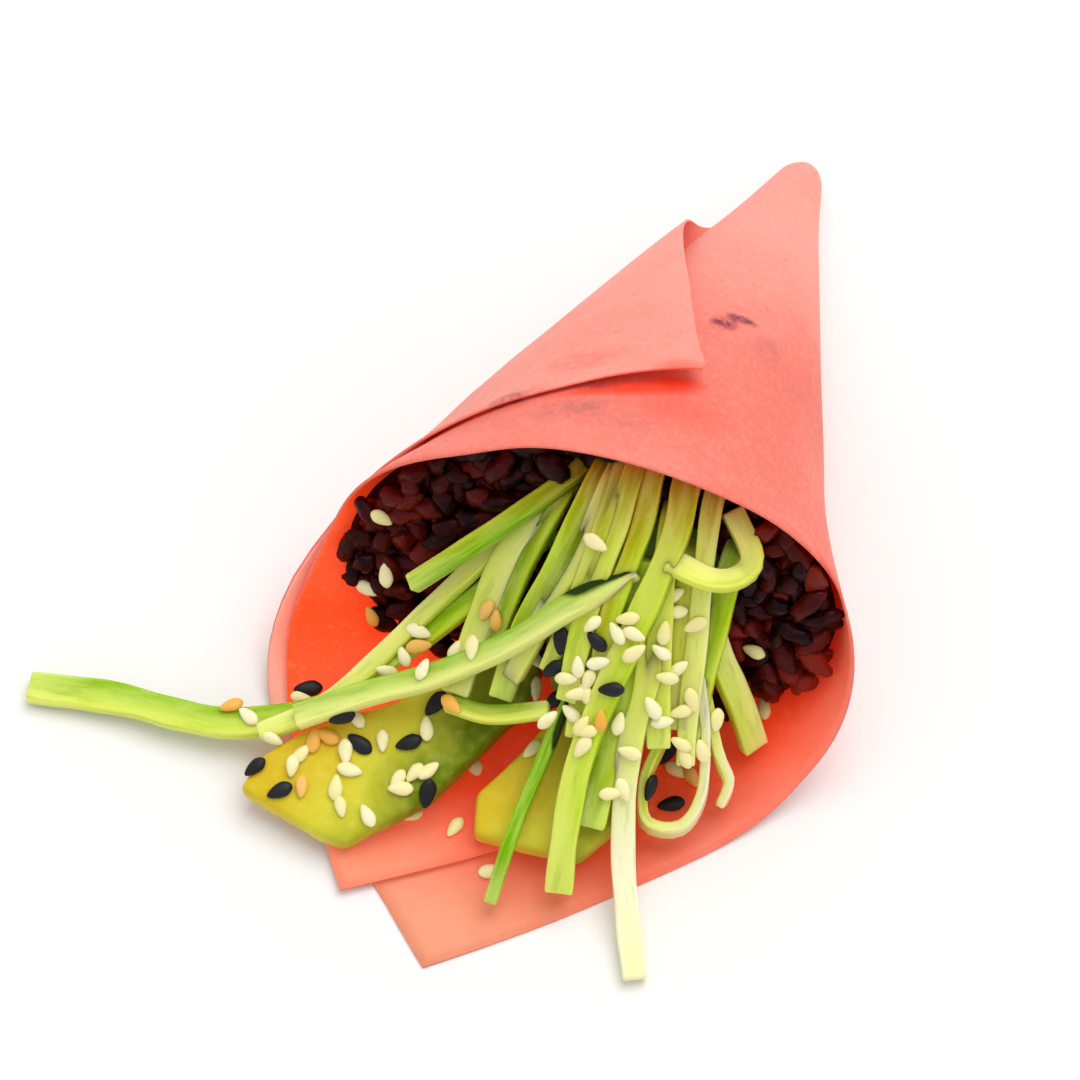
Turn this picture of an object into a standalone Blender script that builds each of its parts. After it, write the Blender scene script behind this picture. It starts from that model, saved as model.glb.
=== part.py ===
"""A vegetarian hand roll that lies on a flat surface.

A half sheet of coral soy paper is rolled into a cone, with its point towards +Y and its
mouth towards -Y. One corner of the sheet lies flat in front of the mouth as a tongue, and
the outer end of the sheet is a flap over the top. Dark rice lines the cone, a bundle of cut
cucumber strips spills out of the mouth over two avocado slices, and sesame seeds lie on it.
Lengths in this file are in millimetres, and become metres when a mesh is made.
"""
import math
import random

import bmesh
import bpy
from mathutils import Matrix, Vector
from mathutils.bvhtree import BVHTree

MM = 0.001
CLEAR = 0.35

# The cone of paper: its point, and how fast its half width and its height grow from there.
POINT_X = 8.0
POINT_Y = 67.4
HALF_WIDTH_SLOPE = 0.374
HEIGHT_SLOPE = 0.60
MOUTH_BULGE_LEFT = 3.5
MOUTH_BULGE_RIGHT = 4.8
BULGE_REACH_LEFT = (55, 82)
BULGE_REACH_RIGHT = (50, 80)
POINT_BLUNTNESS = 1.0
BLUNT_REACH = 16.0
BLUNT_HEIGHT = 1.4
# Its section is round in the middle and flatter on the floor side towards the mouth.
FLATNESS = 1.15
MOUTH_FLATNESS = 1.3
FLAT_REACH = (68, 95)
# The upper left of its wall sinks in a little towards the mouth, round one turning angle.
HOLLOW_DEPTH = 2.0
HOLLOW_TURN = 60
HOLLOW_NARROWNESS = 7
HOLLOW_START = (56, 67)
HOLLOW_END = (72, 84)
# The closed tip's sections: distance along the roll, offset from the cone, and a shrink. Its
# corners stand a little beside the sheet's own.
POINT_SECTIONS = [(3.2, 0.0, 0.2), (3.45, 0.0, 0.52), (4.0, 0.0, 0.8), (4.8, 0.0, 0.97),
                  (5.6, -0.15, 1.0), (7.6, -0.6, 1.0), (9.0, -1.3, 1.0), (11.5, -2.6, 1.0)]
POINT_SIDES = 18
POINT_SKEW = 0.1
PAPER = 0.4

# How the layers lie: each turn inside the last, wound tighter at the tip, the outer one
# loose, the flap over the top lifted, and its corner lifted more.
LAYER_PITCH = 0.95
INWARD_TURNS = (200, 345)
TIP_WINDING = 0.35
WINDING_REACH = (5, 25)
LOOSE_OUTER = 0.5
LOOSE_TURNS = (90, 180)
FLAP_LIFT = 1.6
FLAP_REACH = (22, 60)
FLAP_TURNS = (75, 130)
CORNER_LIFT = 1.7
CORNER_TURNS = (-10, 28)

# The sheet's edges, as distances from the point along the roll's axis at each turning angle
# in degrees. 0 is the top, 90 the left side, 180 the floor and 270 the right side. The sheet
# starts at the flap on top, goes once round the outside and ends inside on the floor.
SHORT_EDGE = [(-10, 50.2), (11, 54.9), (36, 61.0), (60, 65.0), (80, 67.5), (95, 72.0),
              (105, 80.0), (112, 84.5), (123, 89.5), (145, 98.0), (164, 105.9), (176, 112.8)]
LONG_EDGE = [(176, 112.8), (189, 103.6), (202, 94.9), (220, 85.0), (234, 78.3), (255, 72.1),
             (272, 67.5), (286, 64.6), (313, 64.7), (338, 66.1), (363, 67.7), (379, 68.9),
             (397, 71.6), (430, 73.0), (450, 74.4), (463, 77.9), (470, 81.9), (485, 88.7),
             (514, 104.0), (520, 108.2)]
INNER_EDGE = [(520, 108.2), (524, 105.9), (556, 88.0)]
POINT_EDGE = [(-10, 49.2), (-7, 47.6), (3, 40.8), (11, 36.0), (23, 31.0), (44, 24.8), (66, 20.9),
              (90, 20.2), (112, 17.4), (132, 11.5), (155, 5.0), (505, 5.0), (530, 8.5),
              (556, 14.0)]
TURN_STEP = 9.0
SHEET_ROWS = 9
ROW_CROWDING = 1.25
FIRST_TURN = SHORT_EDGE[0][0]
CORNER_TURN = LONG_EDGE[0][0]
INNER_CORNER_TURN = INNER_EDGE[0][0]
LAST_TURN = INNER_EDGE[-1][0]

# The rice: its front slopes back from the floor and is further forward on the left. Its
# grains stand in rows over the front, from a corner, each moved a little.
RICE_START = 14.0
RICE_SECTIONS = 18
RICE_SIDES = 24
RICE_END = 96.0
RICE_FRONT_Y = -9.7
RICE_FRONT_PER_Z = 0.36
RICE_FRONT_PER_X = 0.14
GRAIN_LENGTH = 5.2
GRAIN_WIDTH = 2.7
GRAIN_SPACING = 3.1
GRAIN_CORNER = (-25.0, 2.5)
GRAIN_FIELD = (66, 42)
GRAIN_SHIFT = 0.6
GRAIN_OUT = (-0.2, 0.5)
GRAIN_SIZES = (0.85, 1.1)
GRAIN_FLATNESS = 0.9
FRONT_FACING = -0.6

# The cucumber bundle's hidden core: y, left, right, bottom and top of each section.
BUNDLE_CORE = [(38, 3.5, 13.0, 8.0, 16.0), (20, 2.0, 18.5, 11.0, 25.5), (6, 1.5, 22.0, 13.0, 32.0),
               (-1, 1.5, 22.5, 14.0, 31.0), (-7, 2.5, 22.0, 14.0, 25.0),
               (-13, 5.0, 21.0, 12.5, 17.5), (-17, 8.0, 20.0, 11.5, 14.0)]
CORE_SIDES = 14
CHANNEL_GROWTH = 0.85
CHANNEL_FRONT = [(3.0, -2.5, 26.0, 11.0, 44.0), (-22.0, -2.5, 26.0, 11.0, 44.0)]

# Cucumber strips: width, thickness and the points that each passes through, from the bundle
# to its free end.
STRIPS = [
    (2.0, 1.7, [(1.5, 1.0, 27.0), (-4.0, -7.0, 20.0), (-8.0, -12.5, 15.0), (-14.5, -23.5, 9.5),
                (-21.0, -29.0, 6.0)]),
    (2.2, 1.6, [(2.0, -2.0, 22.0), (-5.5, -12.0, 14.5), (-12.0, -20.0, 10.0)]),
    (2.6, 1.8, [(13.5, -6.0, 28.0), (8.0, -10.5, 25.0), (3.0, -14.5, 20.0), (-4.0, -19.0, 15.0),
                (-11.5, -23.0, 11.5), (-17.5, -27.0, 9.0)]),
    (2.0, 1.8, [(3.5, 1.0, 31.0), (-2.5, -5.5, 26.0), (-10.0, -12.0, 19.0)]),
    (3.1, 1.8, [(2.5, 0.0, 29.0), (-1.0, -6.0, 22.5), (-2.0, -13.0, 15.0), (-2.0, -19.5, 12.5)]),
    (1.8, 1.8, [(3.0, -1.0, 29.0), (1.0, -7.5, 21.5), (0.0, -14.0, 14.5)]),
    (2.6, 2.0, [(6.5, 0.5, 33.0), (5.0, -7.0, 26.0), (3.0, -12.5, 18.0), (3.0, -18.5, 13.5)]),
    (2.2, 1.8, [(8.0, 0.5, 34.0), (7.0, -5.5, 28.0), (5.0, -11.5, 21.0), (3.5, -16.5, 15.0)]),
    (1.8, 1.8, [(8.5, 1.5, 34.5), (8.5, -4.0, 30.5), (8.0, -9.5, 24.0), (7.0, -15.0, 17.0)]),
    (2.4, 2.0, [(10.0, 2.0, 35.0), (10.0, -2.5, 31.5), (9.5, -10.0, 24.0), (10.0, -17.0, 16.0)]),
    (2.2, 2.0, [(12.0, 2.5, 35.0), (12.5, -2.5, 31.0), (12.0, -10.0, 23.5), (13.0, -16.0, 16.5)]),
    (2.9, 2.0, [(15.5, 2.5, 34.5), (16.0, -3.0, 30.0), (14.0, -15.5, 18.5), (13.5, -22.5, 12.5),
                (14.5, -29.0, 7.4), (15.5, -33.0, 3.4)]),
    (2.3, 1.8, [(18.5, 3.0, 33.5), (19.5, -2.0, 28.5), (21.0, -7.5, 21.0), (22.5, -13.5, 14.0)]),
    (2.6, 1.3, [(16.0, -4.0, 29.5), (21.0, -4.0, 28.5), (23.5, -2.0, 27.5), (24.0, 0.0, 29.0),
                (20.5, 3.0, 31.5)]),
    (2.6, 1.8, [(22.0, 0.0, 26.5), (22.5, -8.0, 17.5), (23.0, -14.5, 11.5)]),
    (3.0, 1.6, [(20.0, -4.5, 23.5), (23.0, -6.5, 17.5), (26.5, -8.0, 10.0), (29.0, -9.5, 4.0)]),
    (2.6, 2.0, [(15.0, 0.0, 31.0), (16.5, -6.5, 25.0), (18.5, -12.5, 18.0), (20.5, -17.0, 12.5)]),
    (3.2, 2.0, [(13.0, -4.0, 27.5), (14.5, -11.0, 20.0), (15.5, -18.0, 13.5), (16.5, -26.5, 7.8)]),
    (2.6, 1.7, [(15.5, -6.5, 24.5), (17.5, -13.0, 18.5), (18.0, -19.5, 12.5), (20.5, -27.0, 6.0),
                (23.5, -33.0, 2.4), (26.5, -38.5, 1.2)]),
    (1.4, 1.6, [(10.0, -15.0, 17.0), (9.5, -20.5, 12.0), (9.0, -27.0, 8.0), (9.0, -31.5, 6.4),
                (9.0, -36.5, 2.3)]),
    (1.1, 2.6, [(21.0, -10.5, 16.5), (20.5, -15.5, 11.5), (20.0, -19.5, 7.5), (21.5, -22.5, 4.5),
                (25.0, -21.5, 4.0), (26.0, -18.0, 6.0), (24.5, -13.5, 11.5), (22.0, -9.5, 17.0)]),
    (1.1, 1.8, [(22.5, -9.5, 16.5), (26.0, -13.5, 9.0), (28.0, -15.0, 5.0), (28.0, -17.0, 3.0)]),
    (2.0, 1.3, [(-2.5, -20.5, 12.0), (2.5, -20.5, 13.0), (8.5, -18.5, 15.0)]),
    (2.4, 2.0, [(9.0, -5.0, 26.0), (10.5, -13.0, 18.0), (12.0, -19.5, 13.0)]),
    (2.4, 2.0, [(18.0, -2.0, 27.0), (19.5, -8.5, 19.5), (21.5, -14.5, 13.0)]),
]
LONG_STRIP = (3.4, 1.7, [(-48.0, -31.5, 1.2), (-38.5, -29.5, 2.0), (-31.0, -29.0, 2.8),
                         (-25.0, -28.0, 3.4), (-18.5, -25.0, 4.4), (-14.5, -22.0, 5.2)])
STRIP_STEPS_PER_SPAN = 2

# Avocado slices: outline seen from above, the front's y, the top's height there and its
# slope, and the underside's.
SLICES = {
    "avocado_slice_left": ([(-20.9, -35.1), (-20.0, -31.0), (-17.1, -27.4), (-8.1, -20.5),
                            (-3.0, -14.0), (1.0, -11.0), (5.0, -11.5), (5.0, -16.0),
                            (2.5, -21.5), (-1.0, -29.1), (-7.8, -36.7), (-10.9, -36.9)],
                           -36.5, (4.3, 0.27), (1.75, 0.20)),
    "avocado_slice_right": ([(4.7, -30.6), (3.3, -26.5), (6.7, -19.7), (8.5, -14.0),
                             (16.5, -13.5), (18.5, -19.0), (18.5, -25.2), (16.2, -29.2),
                             (12.0, -29.8)],
                            -30.6, (4.6, 0.28), (1.75, 0.25)),
}
# The slices' sections: how far each lies inside the outline, and its share of the height.
SLICE_SECTIONS = [(0.5, 0.0), (0.0, 0.45), (0.0, 0.72), (0.25, 0.92), (0.7, 1.0)]

# Sesame seeds: their size, how deep they sink in, how many places are tried for each white
# one, and how level the surface under one is. The black ones have their places, the white
# ones come in groups with a centre, a reach along x and y, and a count.
SEED_LENGTH = 3.1
SEED_WIDTH = 1.9
SEED_THICKNESS = 1.1
SEED_SINK = 0.25
SEED_SPACING = 0.75
SEED_TRIES = 25
SEED_LEVEL = 0.45
ABOVE_ALL = 60.0
PIP_SIDES = 5
PIP_RINGS = 4
BLACK_SEEDS = {
    "cucumber_strip_left": [(-31.8, -27.9)],
    "avocado_slice_left": [(-17.6, -31.9), (-10.4, -25.9), (-5.0, -23.6), (-1.4, -29.0)],
    "cucumber_bundle": [(7.0, -12.5), (10.5, -11.5), (7.6, -14.9), (13.3, -15.7), (8.2, -17.5),
                        (18.8, -18.6), (-2.3, -20.0)],
}
WHITE_SEEDS = {
    "cucumber_strip_left": [((-25.5, -27.5), (1.5, 1.0), 2)],
    "avocado_slice_left": [((-11.0, -29.5), (5.5, 5.0), 13)],
    "cucumber_bundle": [((10.0, -13.5), (5.0, 5.0), 14), ((19.0, -11.5), (3.5, 6.5), 12),
                        ((-8.0, -16.0), (4.0, 4.0), 4), ((15.0, -19.0), (4.0, 2.5), 5)],
}

RANDOM_START = 7

COLOURS = {
    "wrapper": ((0.90, 0.26, 0.16), 0.62),
    "rice": ((0.05, 0.008, 0.014), 0.45),
    "cucumber_bundle": ((0.56, 0.66, 0.14), 0.35),
    "cucumber_strip_left": ((0.50, 0.70, 0.10), 0.35),
    "avocado_slice_left": ((0.68, 0.60, 0.08), 0.45),
    "avocado_slice_right": ((0.74, 0.58, 0.06), 0.45),
}


def clear_scene():
    """Remove every object of the scene."""
    for item in list(bpy.data.objects):
        bpy.data.objects.remove(item, do_unlink=True)


def smooth_step(start, end, value):
    """Go smoothly from 0 at start to 1 at end."""
    part = min(max((value - start) / (end - start), 0.0), 1.0)
    return part * part * (3.0 - 2.0 * part)


def curve_value(points, place):
    """Read a smooth curve through points of (place, value), without overshoot."""
    for index in range(len(points) - 1):
        if place <= points[index + 1][0] or index == len(points) - 2:
            break
    (x0, y0), (x1, y1) = points[index], points[index + 1]
    span = x1 - x0
    slope = (y1 - y0) / span
    before = points[index - 1] if index > 0 else None
    after = points[index + 2] if index + 2 < len(points) else None
    slope_before = (y0 - before[1]) / (x0 - before[0]) if before else slope
    slope_after = (after[1] - y1) / (after[0] - x1) if after else slope
    tangent0 = harmonic(slope_before, slope)
    tangent1 = harmonic(slope, slope_after)
    t = min(max((place - x0) / span, 0.0), 1.0)
    return (y0 * (1 + 2 * t) * (1 - t) ** 2 + span * tangent0 * t * (1 - t) ** 2
            + y1 * t * t * (3 - 2 * t) + span * tangent1 * t * t * (t - 1))


def harmonic(a, b):
    """Harmonic mean of two slopes, or 0 where they have opposite signs."""
    return 2.0 * a * b / (a + b) if a * b > 0 else 0.0


def rim(turn):
    """Distance from the point to the sheet's edge at the mouth."""
    if turn <= CORNER_TURN:
        return curve_value(SHORT_EDGE, turn)
    if turn <= INNER_CORNER_TURN:
        return curve_value(LONG_EDGE, turn)
    return curve_value(INNER_EDGE, turn)


def layer_offset(turn, along):
    """How far the sheet lies outside the cone's own surface: less after each turn."""
    winding = TIP_WINDING + (1.0 - TIP_WINDING) * smooth_step(*WINDING_REACH, along)
    inward = LAYER_PITCH * winding * smooth_step(*INWARD_TURNS, turn)
    loose = LOOSE_OUTER * (1.0 - smooth_step(*LOOSE_TURNS, turn))
    flap = FLAP_LIFT * (1.0 - smooth_step(*FLAP_REACH, along))
    flap *= 1.0 - smooth_step(*FLAP_TURNS, turn)
    corner = CORNER_LIFT * (1.0 - smooth_step(*CORNER_TURNS, turn))
    return loose + flap + corner - inward


def cone_point(turn, along, offset):
    """A point of the cone's surface, moved out by offset."""
    angle = math.radians(turn)
    on_left = math.sin(angle) > 0
    bulge = MOUTH_BULGE_LEFT if on_left else MOUTH_BULGE_RIGHT
    reach = BULGE_REACH_LEFT if on_left else BULGE_REACH_RIGHT
    at_turn = ((1.0 + math.cos(angle - math.radians(HOLLOW_TURN))) / 2.0) ** HOLLOW_NARROWNESS
    at_mouth = smooth_step(*HOLLOW_START, along) * (1.0 - smooth_step(*HOLLOW_END, along))
    offset = offset - HOLLOW_DEPTH * at_turn * at_mouth
    blunt = POINT_BLUNTNESS * (1.0 - smooth_step(0, BLUNT_REACH, along))
    half = HALF_WIDTH_SLOPE * along + bulge * smooth_step(*reach, along) + blunt
    height = HEIGHT_SLOPE * along + BLUNT_HEIGHT * blunt
    flatness = FLATNESS + MOUTH_FLATNESS * smooth_step(*FLAT_REACH, along)
    rise = ((1.0 + math.cos(angle)) / 2.0) ** flatness
    return Vector((POINT_X - math.sin(angle) * (half + offset),
                   POINT_Y - along,
                   PAPER / 2 + height / 2 + (height / 2 + offset) * (2.0 * rise - 1.0)))


def sheet_point(turn, along):
    """A point of the rolled sheet's middle surface."""
    return cone_point(turn, along, layer_offset(turn, along))


def sheet_normal(turn, along):
    """The sheet's outward direction at a point."""
    across = sheet_point(turn + 1.0, along) - sheet_point(turn - 1.0, along)
    down = sheet_point(turn, along + 0.5) - sheet_point(turn, along - 0.5)
    normal = across.cross(down)
    axis = Vector((POINT_X, POINT_Y - along, HEIGHT_SLOPE * along / 2))
    outward = sheet_point(turn, along) - axis
    return (normal if normal.dot(outward) > 0 else -normal).normalized()


def sheet_turns():
    """The turning angles of the sheet's columns, with both corners among them."""
    marks = [FIRST_TURN, CORNER_TURN, INNER_CORNER_TURN, LAST_TURN]
    turns = [float(FIRST_TURN)]
    for start, end in zip(marks, marks[1:]):
        count = max(1, round((end - start) / TURN_STEP))
        turns += [start + (end - start) * k / count for k in range(1, count + 1)]
    return turns


def mesh_object(name, points, faces):
    """Make an object from points in millimetres and faces, with its faces pointing out."""
    work = bmesh.new()
    verts = [work.verts.new(Vector(point) * MM) for point in points]
    for face in faces:
        work.faces.new([verts[k] for k in face])
    bmesh.ops.recalc_face_normals(work, faces=work.faces)
    return finish(name, work)


def finish(name, work):
    """Turn a bmesh into a linked object."""
    mesh = bpy.data.meshes.new(name)
    work.to_mesh(mesh)
    work.free()
    thing = bpy.data.objects.new(name, mesh)
    bpy.context.scene.collection.objects.link(thing)
    return thing


def loft(name, rings):
    """A closed body through rings of points, with flat ends."""
    points = [point for ring in rings for point in ring]
    size = len(rings[0])
    faces = [list(range(size)), [len(points) - 1 - k for k in range(size)]]
    for row in range(len(rings) - 1):
        for k in range(size):
            a, b = row * size + k, row * size + (k + 1) % size
            faces.append((b, a, a + size, b + size))
    return mesh_object(name, points, faces)


def rolled_sheet():
    """The paper as a thin closed body: an outer and an inner face with edges between them."""
    turns = sheet_turns()
    outer, inner = [], []
    for turn in turns:
        top, bottom = curve_value(POINT_EDGE, turn), rim(turn)
        for row in range(SHEET_ROWS + 1):
            share = 1.0 - (1.0 - row / SHEET_ROWS) ** ROW_CROWDING
            along = top + (bottom - top) * share
            middle, normal = sheet_point(turn, along), sheet_normal(turn, along)
            outer.append(middle + normal * PAPER / 2)
            inner.append(middle - normal * PAPER / 2)
    size = SHEET_ROWS + 1
    shift = len(outer)
    faces = []
    for column in range(len(turns) - 1):
        for row in range(SHEET_ROWS):
            a = column * size + row
            faces.append((a, a + 1, a + size + 1, a + size))
            faces.append((a + shift, a + size + shift, a + size + 1 + shift, a + 1 + shift))
        for a in (column * size, column * size + SHEET_ROWS):
            faces.append((a, a + size, a + size + shift, a + shift))
    for start in (0, (len(turns) - 1) * size):
        for row in range(SHEET_ROWS):
            a = start + row
            faces.append((a, a + 1, a + 1 + shift, a + shift))
    return mesh_object("wrapper", outer + inner, faces)


def closed_point():
    """The tightly rolled tip of the cone, rounded at its end."""
    rings = []
    for along, offset, share in POINT_SECTIONS:
        ring = []
        for k in range(POINT_SIDES):
            point = cone_point((k + POINT_SKEW) * 360.0 / POINT_SIDES, along, offset)
            middle = Vector((POINT_X, point.y, HEIGHT_SLOPE * along / 2 + PAPER / 2))
            ring.append(middle + (point - middle) * share)
        rings.append(ring)
    return loft("rolled_tip", rings)


def boolean(target, extras, operation):
    """Join or cut target with other objects, which are then removed."""
    group = bpy.data.collections.new("operands")
    bpy.context.scene.collection.children.link(group)
    for extra in extras:
        bpy.context.scene.collection.objects.unlink(extra)
        group.objects.link(extra)
    step = target.modifiers.new(operation.lower(), "BOOLEAN")
    step.operation = operation
    step.operand_type = "COLLECTION"
    step.collection = group
    step.solver = "EXACT"
    bpy.context.view_layer.update()
    result = bpy.data.meshes.new_from_object(target.evaluated_get(
        bpy.context.evaluated_depsgraph_get()))
    target.modifiers.clear()
    target.data = result
    for extra in list(group.objects):
        bpy.data.objects.remove(extra, do_unlink=True)
    bpy.data.collections.remove(group)
    keep_main_body(target)


def keep_main_body(thing):
    """Triangulate, drop loose scraps and fill sealed hollows: only the largest shell stays."""
    work = bmesh.new()
    work.from_mesh(thing.data)
    bmesh.ops.dissolve_degenerate(work, edges=work.edges, dist=1e-7)
    bmesh.ops.triangulate(work, faces=work.faces)
    shells, seen = [], set()
    for first in work.faces:
        if first in seen:
            continue
        seen.add(first)
        shell, queue = [first], [first]
        while queue:
            for edge in queue.pop().edges:
                for face in edge.link_faces:
                    if face not in seen:
                        seen.add(face)
                        shell.append(face)
                        queue.append(face)
        shells.append(shell)
    shells.sort(key=len, reverse=True)
    scraps = [face for shell in shells[1:] for face in shell]
    if scraps:
        bmesh.ops.delete(work, geom=scraps, context="FACES")
        loose = [vert for vert in work.verts if not vert.link_faces]
        bmesh.ops.delete(work, geom=loose, context="VERTS")
    work.to_mesh(thing.data)
    work.free()


def spline_points(points, steps):
    """Points of a smooth curve through the given points, steps to each span."""
    knots = [Vector(point) for point in points]
    knots = [2 * knots[0] - knots[1]] + knots + [2 * knots[-1] - knots[-2]]
    result = []
    for k in range(1, len(knots) - 2):
        a, b, c, d = knots[k - 1:k + 3]
        for step in range(steps):
            t = step / steps
            result.append(0.5 * (2 * b + (c - a) * t + (2 * a - 5 * b + 4 * c - d) * t * t
                                 + (3 * b - a - 3 * c + d) * t ** 3))
    result.append(knots[-2])
    return result


def strip(name, width, thickness, points):
    """A cut strip of cucumber: a four-sided bar along a smooth curve, its wide side up."""
    path = spline_points(points, STRIP_STEPS_PER_SPAN)
    rings = []
    for k, middle in enumerate(path):
        ahead = (path[min(k + 1, len(path) - 1)] - path[max(k - 1, 0)]).normalized()
        side = ahead.cross(Vector((0, 0, 1)))
        side = side.normalized() if side.length > 1e-3 else Vector((1, 0, 0))
        up = side.cross(ahead)
        across, rise = side * width / 2, up * thickness / 2
        rings.append([middle + across + rise, middle + across - rise,
                      middle - across - rise, middle - across + rise])
    return loft(name, rings)


def oval_ring(y, left, right, bottom, top):
    """A rounded section across the roll."""
    ring = []
    for k in range(CORE_SIDES):
        angle = 2 * math.pi * k / CORE_SIDES
        ring.append(Vector(((left + right) / 2 + math.cos(angle) * (right - left) / 2,
                            y,
                            (bottom + top) / 2 + math.sin(angle) * (top - bottom) / 2)))
    return ring


def bundle_body(name, grow, sections):
    """A tapering body through the bundle's sections, made larger by grow."""
    return loft(name, [oval_ring(y, left - grow, right + grow, bottom - grow, top + grow)
                       for y, left, right, bottom, top in sections])


def pip(name, place, normal, heading, length, width, thickness):
    """A seed or grain: a low-sided oval body, lying along heading on a surface."""
    normal = normal.normalized()
    forward = (heading - heading.dot(normal) * normal).normalized()
    frame = Matrix((forward, normal.cross(forward), normal)).transposed().to_4x4()
    work = bmesh.new()
    bmesh.ops.create_uvsphere(work, u_segments=PIP_SIDES, v_segments=PIP_RINGS, radius=0.5)
    lie_down = Matrix.Rotation(math.pi / 2, 4, "Y")
    size = Matrix.Diagonal((length, width, thickness, 1.0))
    bmesh.ops.transform(work, matrix=Matrix.Scale(MM, 4) @ Matrix.Translation(place) @ frame
                        @ size @ lie_down, verts=work.verts)
    return finish(name, work)


def surface_tree(things):
    """A search tree over the surfaces of some objects."""
    points, faces = [], []
    for thing in things:
        start = len(points)
        points += [thing.matrix_world @ vert.co for vert in thing.data.vertices]
        faces += [[start + k for k in face.vertices] for face in thing.data.polygons]
    return BVHTree.FromPolygons(points, faces)


def seeds_for(thing, others, rng):
    """Sesame seeds on the top of one piece, clear of the other pieces and of each other."""
    tree, away = surface_tree([thing]), surface_tree(others)
    wanted = [(spot, (0.0, 0.0)) for spot in BLACK_SEEDS.get(thing.name, [])]
    for centre, reach, count in WHITE_SEEDS.get(thing.name, []):
        wanted += [(centre, reach)] * count
    placed, seeds = [], []
    for centre, reach in wanted:
        for _ in range(SEED_TRIES):
            x, y = [middle + rng.uniform(-1, 1) * most for middle, most in zip(centre, reach)]
            start = Vector((x, y, ABOVE_ALL)) * MM
            hit, normal, _, _ = tree.ray_cast(start, Vector((0, 0, -1)))
            if hit is None or normal.z < SEED_LEVEL:
                continue
            place = hit / MM + normal * (SEED_THICKNESS / 2 - SEED_SINK)
            near = away.find_nearest(place * MM)[3] / MM
            if near < SEED_LENGTH / 2 + CLEAR:
                continue
            if any((place - other).length < SEED_LENGTH * SEED_SPACING for other in placed):
                continue
            angle = rng.uniform(0, math.pi)
            heading = Vector((math.cos(angle), math.sin(angle), 0.0))
            placed.append(place)
            seeds.append(pip("seed", place, normal, heading,
                             SEED_LENGTH, SEED_WIDTH, SEED_THICKNESS))
            break
    return seeds


def rice_front(x, z):
    """The y of the rice's front face at a place across the mouth."""
    return RICE_FRONT_Y + RICE_FRONT_PER_Z * z + RICE_FRONT_PER_X * x


def rice_filling():
    """The rice inside the cone up to its sloping front, with a channel for the bundle."""
    inset = -(LAYER_PITCH + PAPER / 2 + CLEAR)
    rings = []
    for row in range(RICE_SECTIONS):
        along = RICE_START + (RICE_END - RICE_START) * row / (RICE_SECTIONS - 1)
        rings.append([cone_point(k * 360.0 / RICE_SIDES, along, inset) for k in range(RICE_SIDES)])
    rice = loft("rice", rings)
    work = bmesh.new()
    work.from_mesh(rice.data)
    everything = list(work.verts) + list(work.edges) + list(work.faces)
    cut = bmesh.ops.bisect_plane(work, geom=everything, clear_inner=True,
                                 plane_co=Vector((0, rice_front(0, 0), 0)) * MM,
                                 plane_no=Vector((-RICE_FRONT_PER_X, 1.0, -RICE_FRONT_PER_Z)))
    rim_edges = [item for item in cut["geom_cut"] if isinstance(item, bmesh.types.BMEdge)]
    bmesh.ops.contextual_create(work, geom=rim_edges)
    bmesh.ops.recalc_face_normals(work, faces=work.faces)
    work.to_mesh(rice.data)
    work.free()
    channel = bundle_body("channel", CHANNEL_GROWTH, BUNDLE_CORE[:3] + CHANNEL_FRONT)
    boolean(rice, [channel], "DIFFERENCE")
    return rice


def rice_grains(rice, others, rng):
    """Grains that stand out of the rice's front, clear of the paper and of the bundle."""
    tree, away = surface_tree([rice]), surface_tree(others)
    grains = []
    columns, rows = [int(side / GRAIN_SPACING) for side in GRAIN_FIELD]
    for row in range(rows):
        for column in range(columns):
            x = GRAIN_CORNER[0] + (column + 0.5 * (row % 2)) * GRAIN_SPACING
            x += rng.uniform(-GRAIN_SHIFT, GRAIN_SHIFT)
            z = GRAIN_CORNER[1] + row * GRAIN_SPACING + rng.uniform(-GRAIN_SHIFT, GRAIN_SHIFT)
            start = Vector((x, -ABOVE_ALL, z)) * MM
            hit, normal, _, _ = tree.ray_cast(start, Vector((0, 1, 0)))
            if hit is None or normal.y > FRONT_FACING:
                continue
            place = hit / MM + normal * rng.uniform(*GRAIN_OUT)
            near = away.find_nearest(place * MM)[3] / MM
            if near < GRAIN_LENGTH / 2 + CLEAR:
                continue
            heading = Vector((rng.uniform(-1, 1), rng.uniform(-0.5, 0.5), rng.uniform(-1, 1)))
            grains.append(pip("grain", place, normal, heading,
                              GRAIN_LENGTH * rng.uniform(*GRAIN_SIZES),
                              GRAIN_WIDTH, GRAIN_WIDTH * GRAIN_FLATNESS))
    return grains


def avocado_slice(name):
    """A flat slice with a rounded upper edge and a slightly undercut side."""
    outline, front, (top, top_slope), (under, under_slope) = SLICES[name]
    middle_x = sum(x for x, y in outline) / len(outline)
    middle_y = sum(y for x, y in outline) / len(outline)
    rings = []
    for inset, share in SLICE_SECTIONS:
        ring = []
        for x, y in outline:
            inward = Vector((middle_x - x, middle_y - y, 0.0)).normalized() * inset
            low = under + under_slope * (y - front)
            high = top + top_slope * (y - front)
            ring.append(Vector((x + inward.x, y + inward.y, low + (high - low) * share)))
        rings.append(ring)
    return loft(name, rings)


def colour(thing):
    """Give a piece its own material."""
    tint, roughness = COLOURS[thing.name]
    material = bpy.data.materials.new(thing.name)
    material.use_nodes = True
    shader = material.node_tree.nodes["Principled BSDF"]
    shader.inputs["Base Color"].default_value = (*tint, 1.0)
    shader.inputs["Roughness"].default_value = roughness
    thing.data.materials.clear()
    thing.data.materials.append(material)


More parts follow.
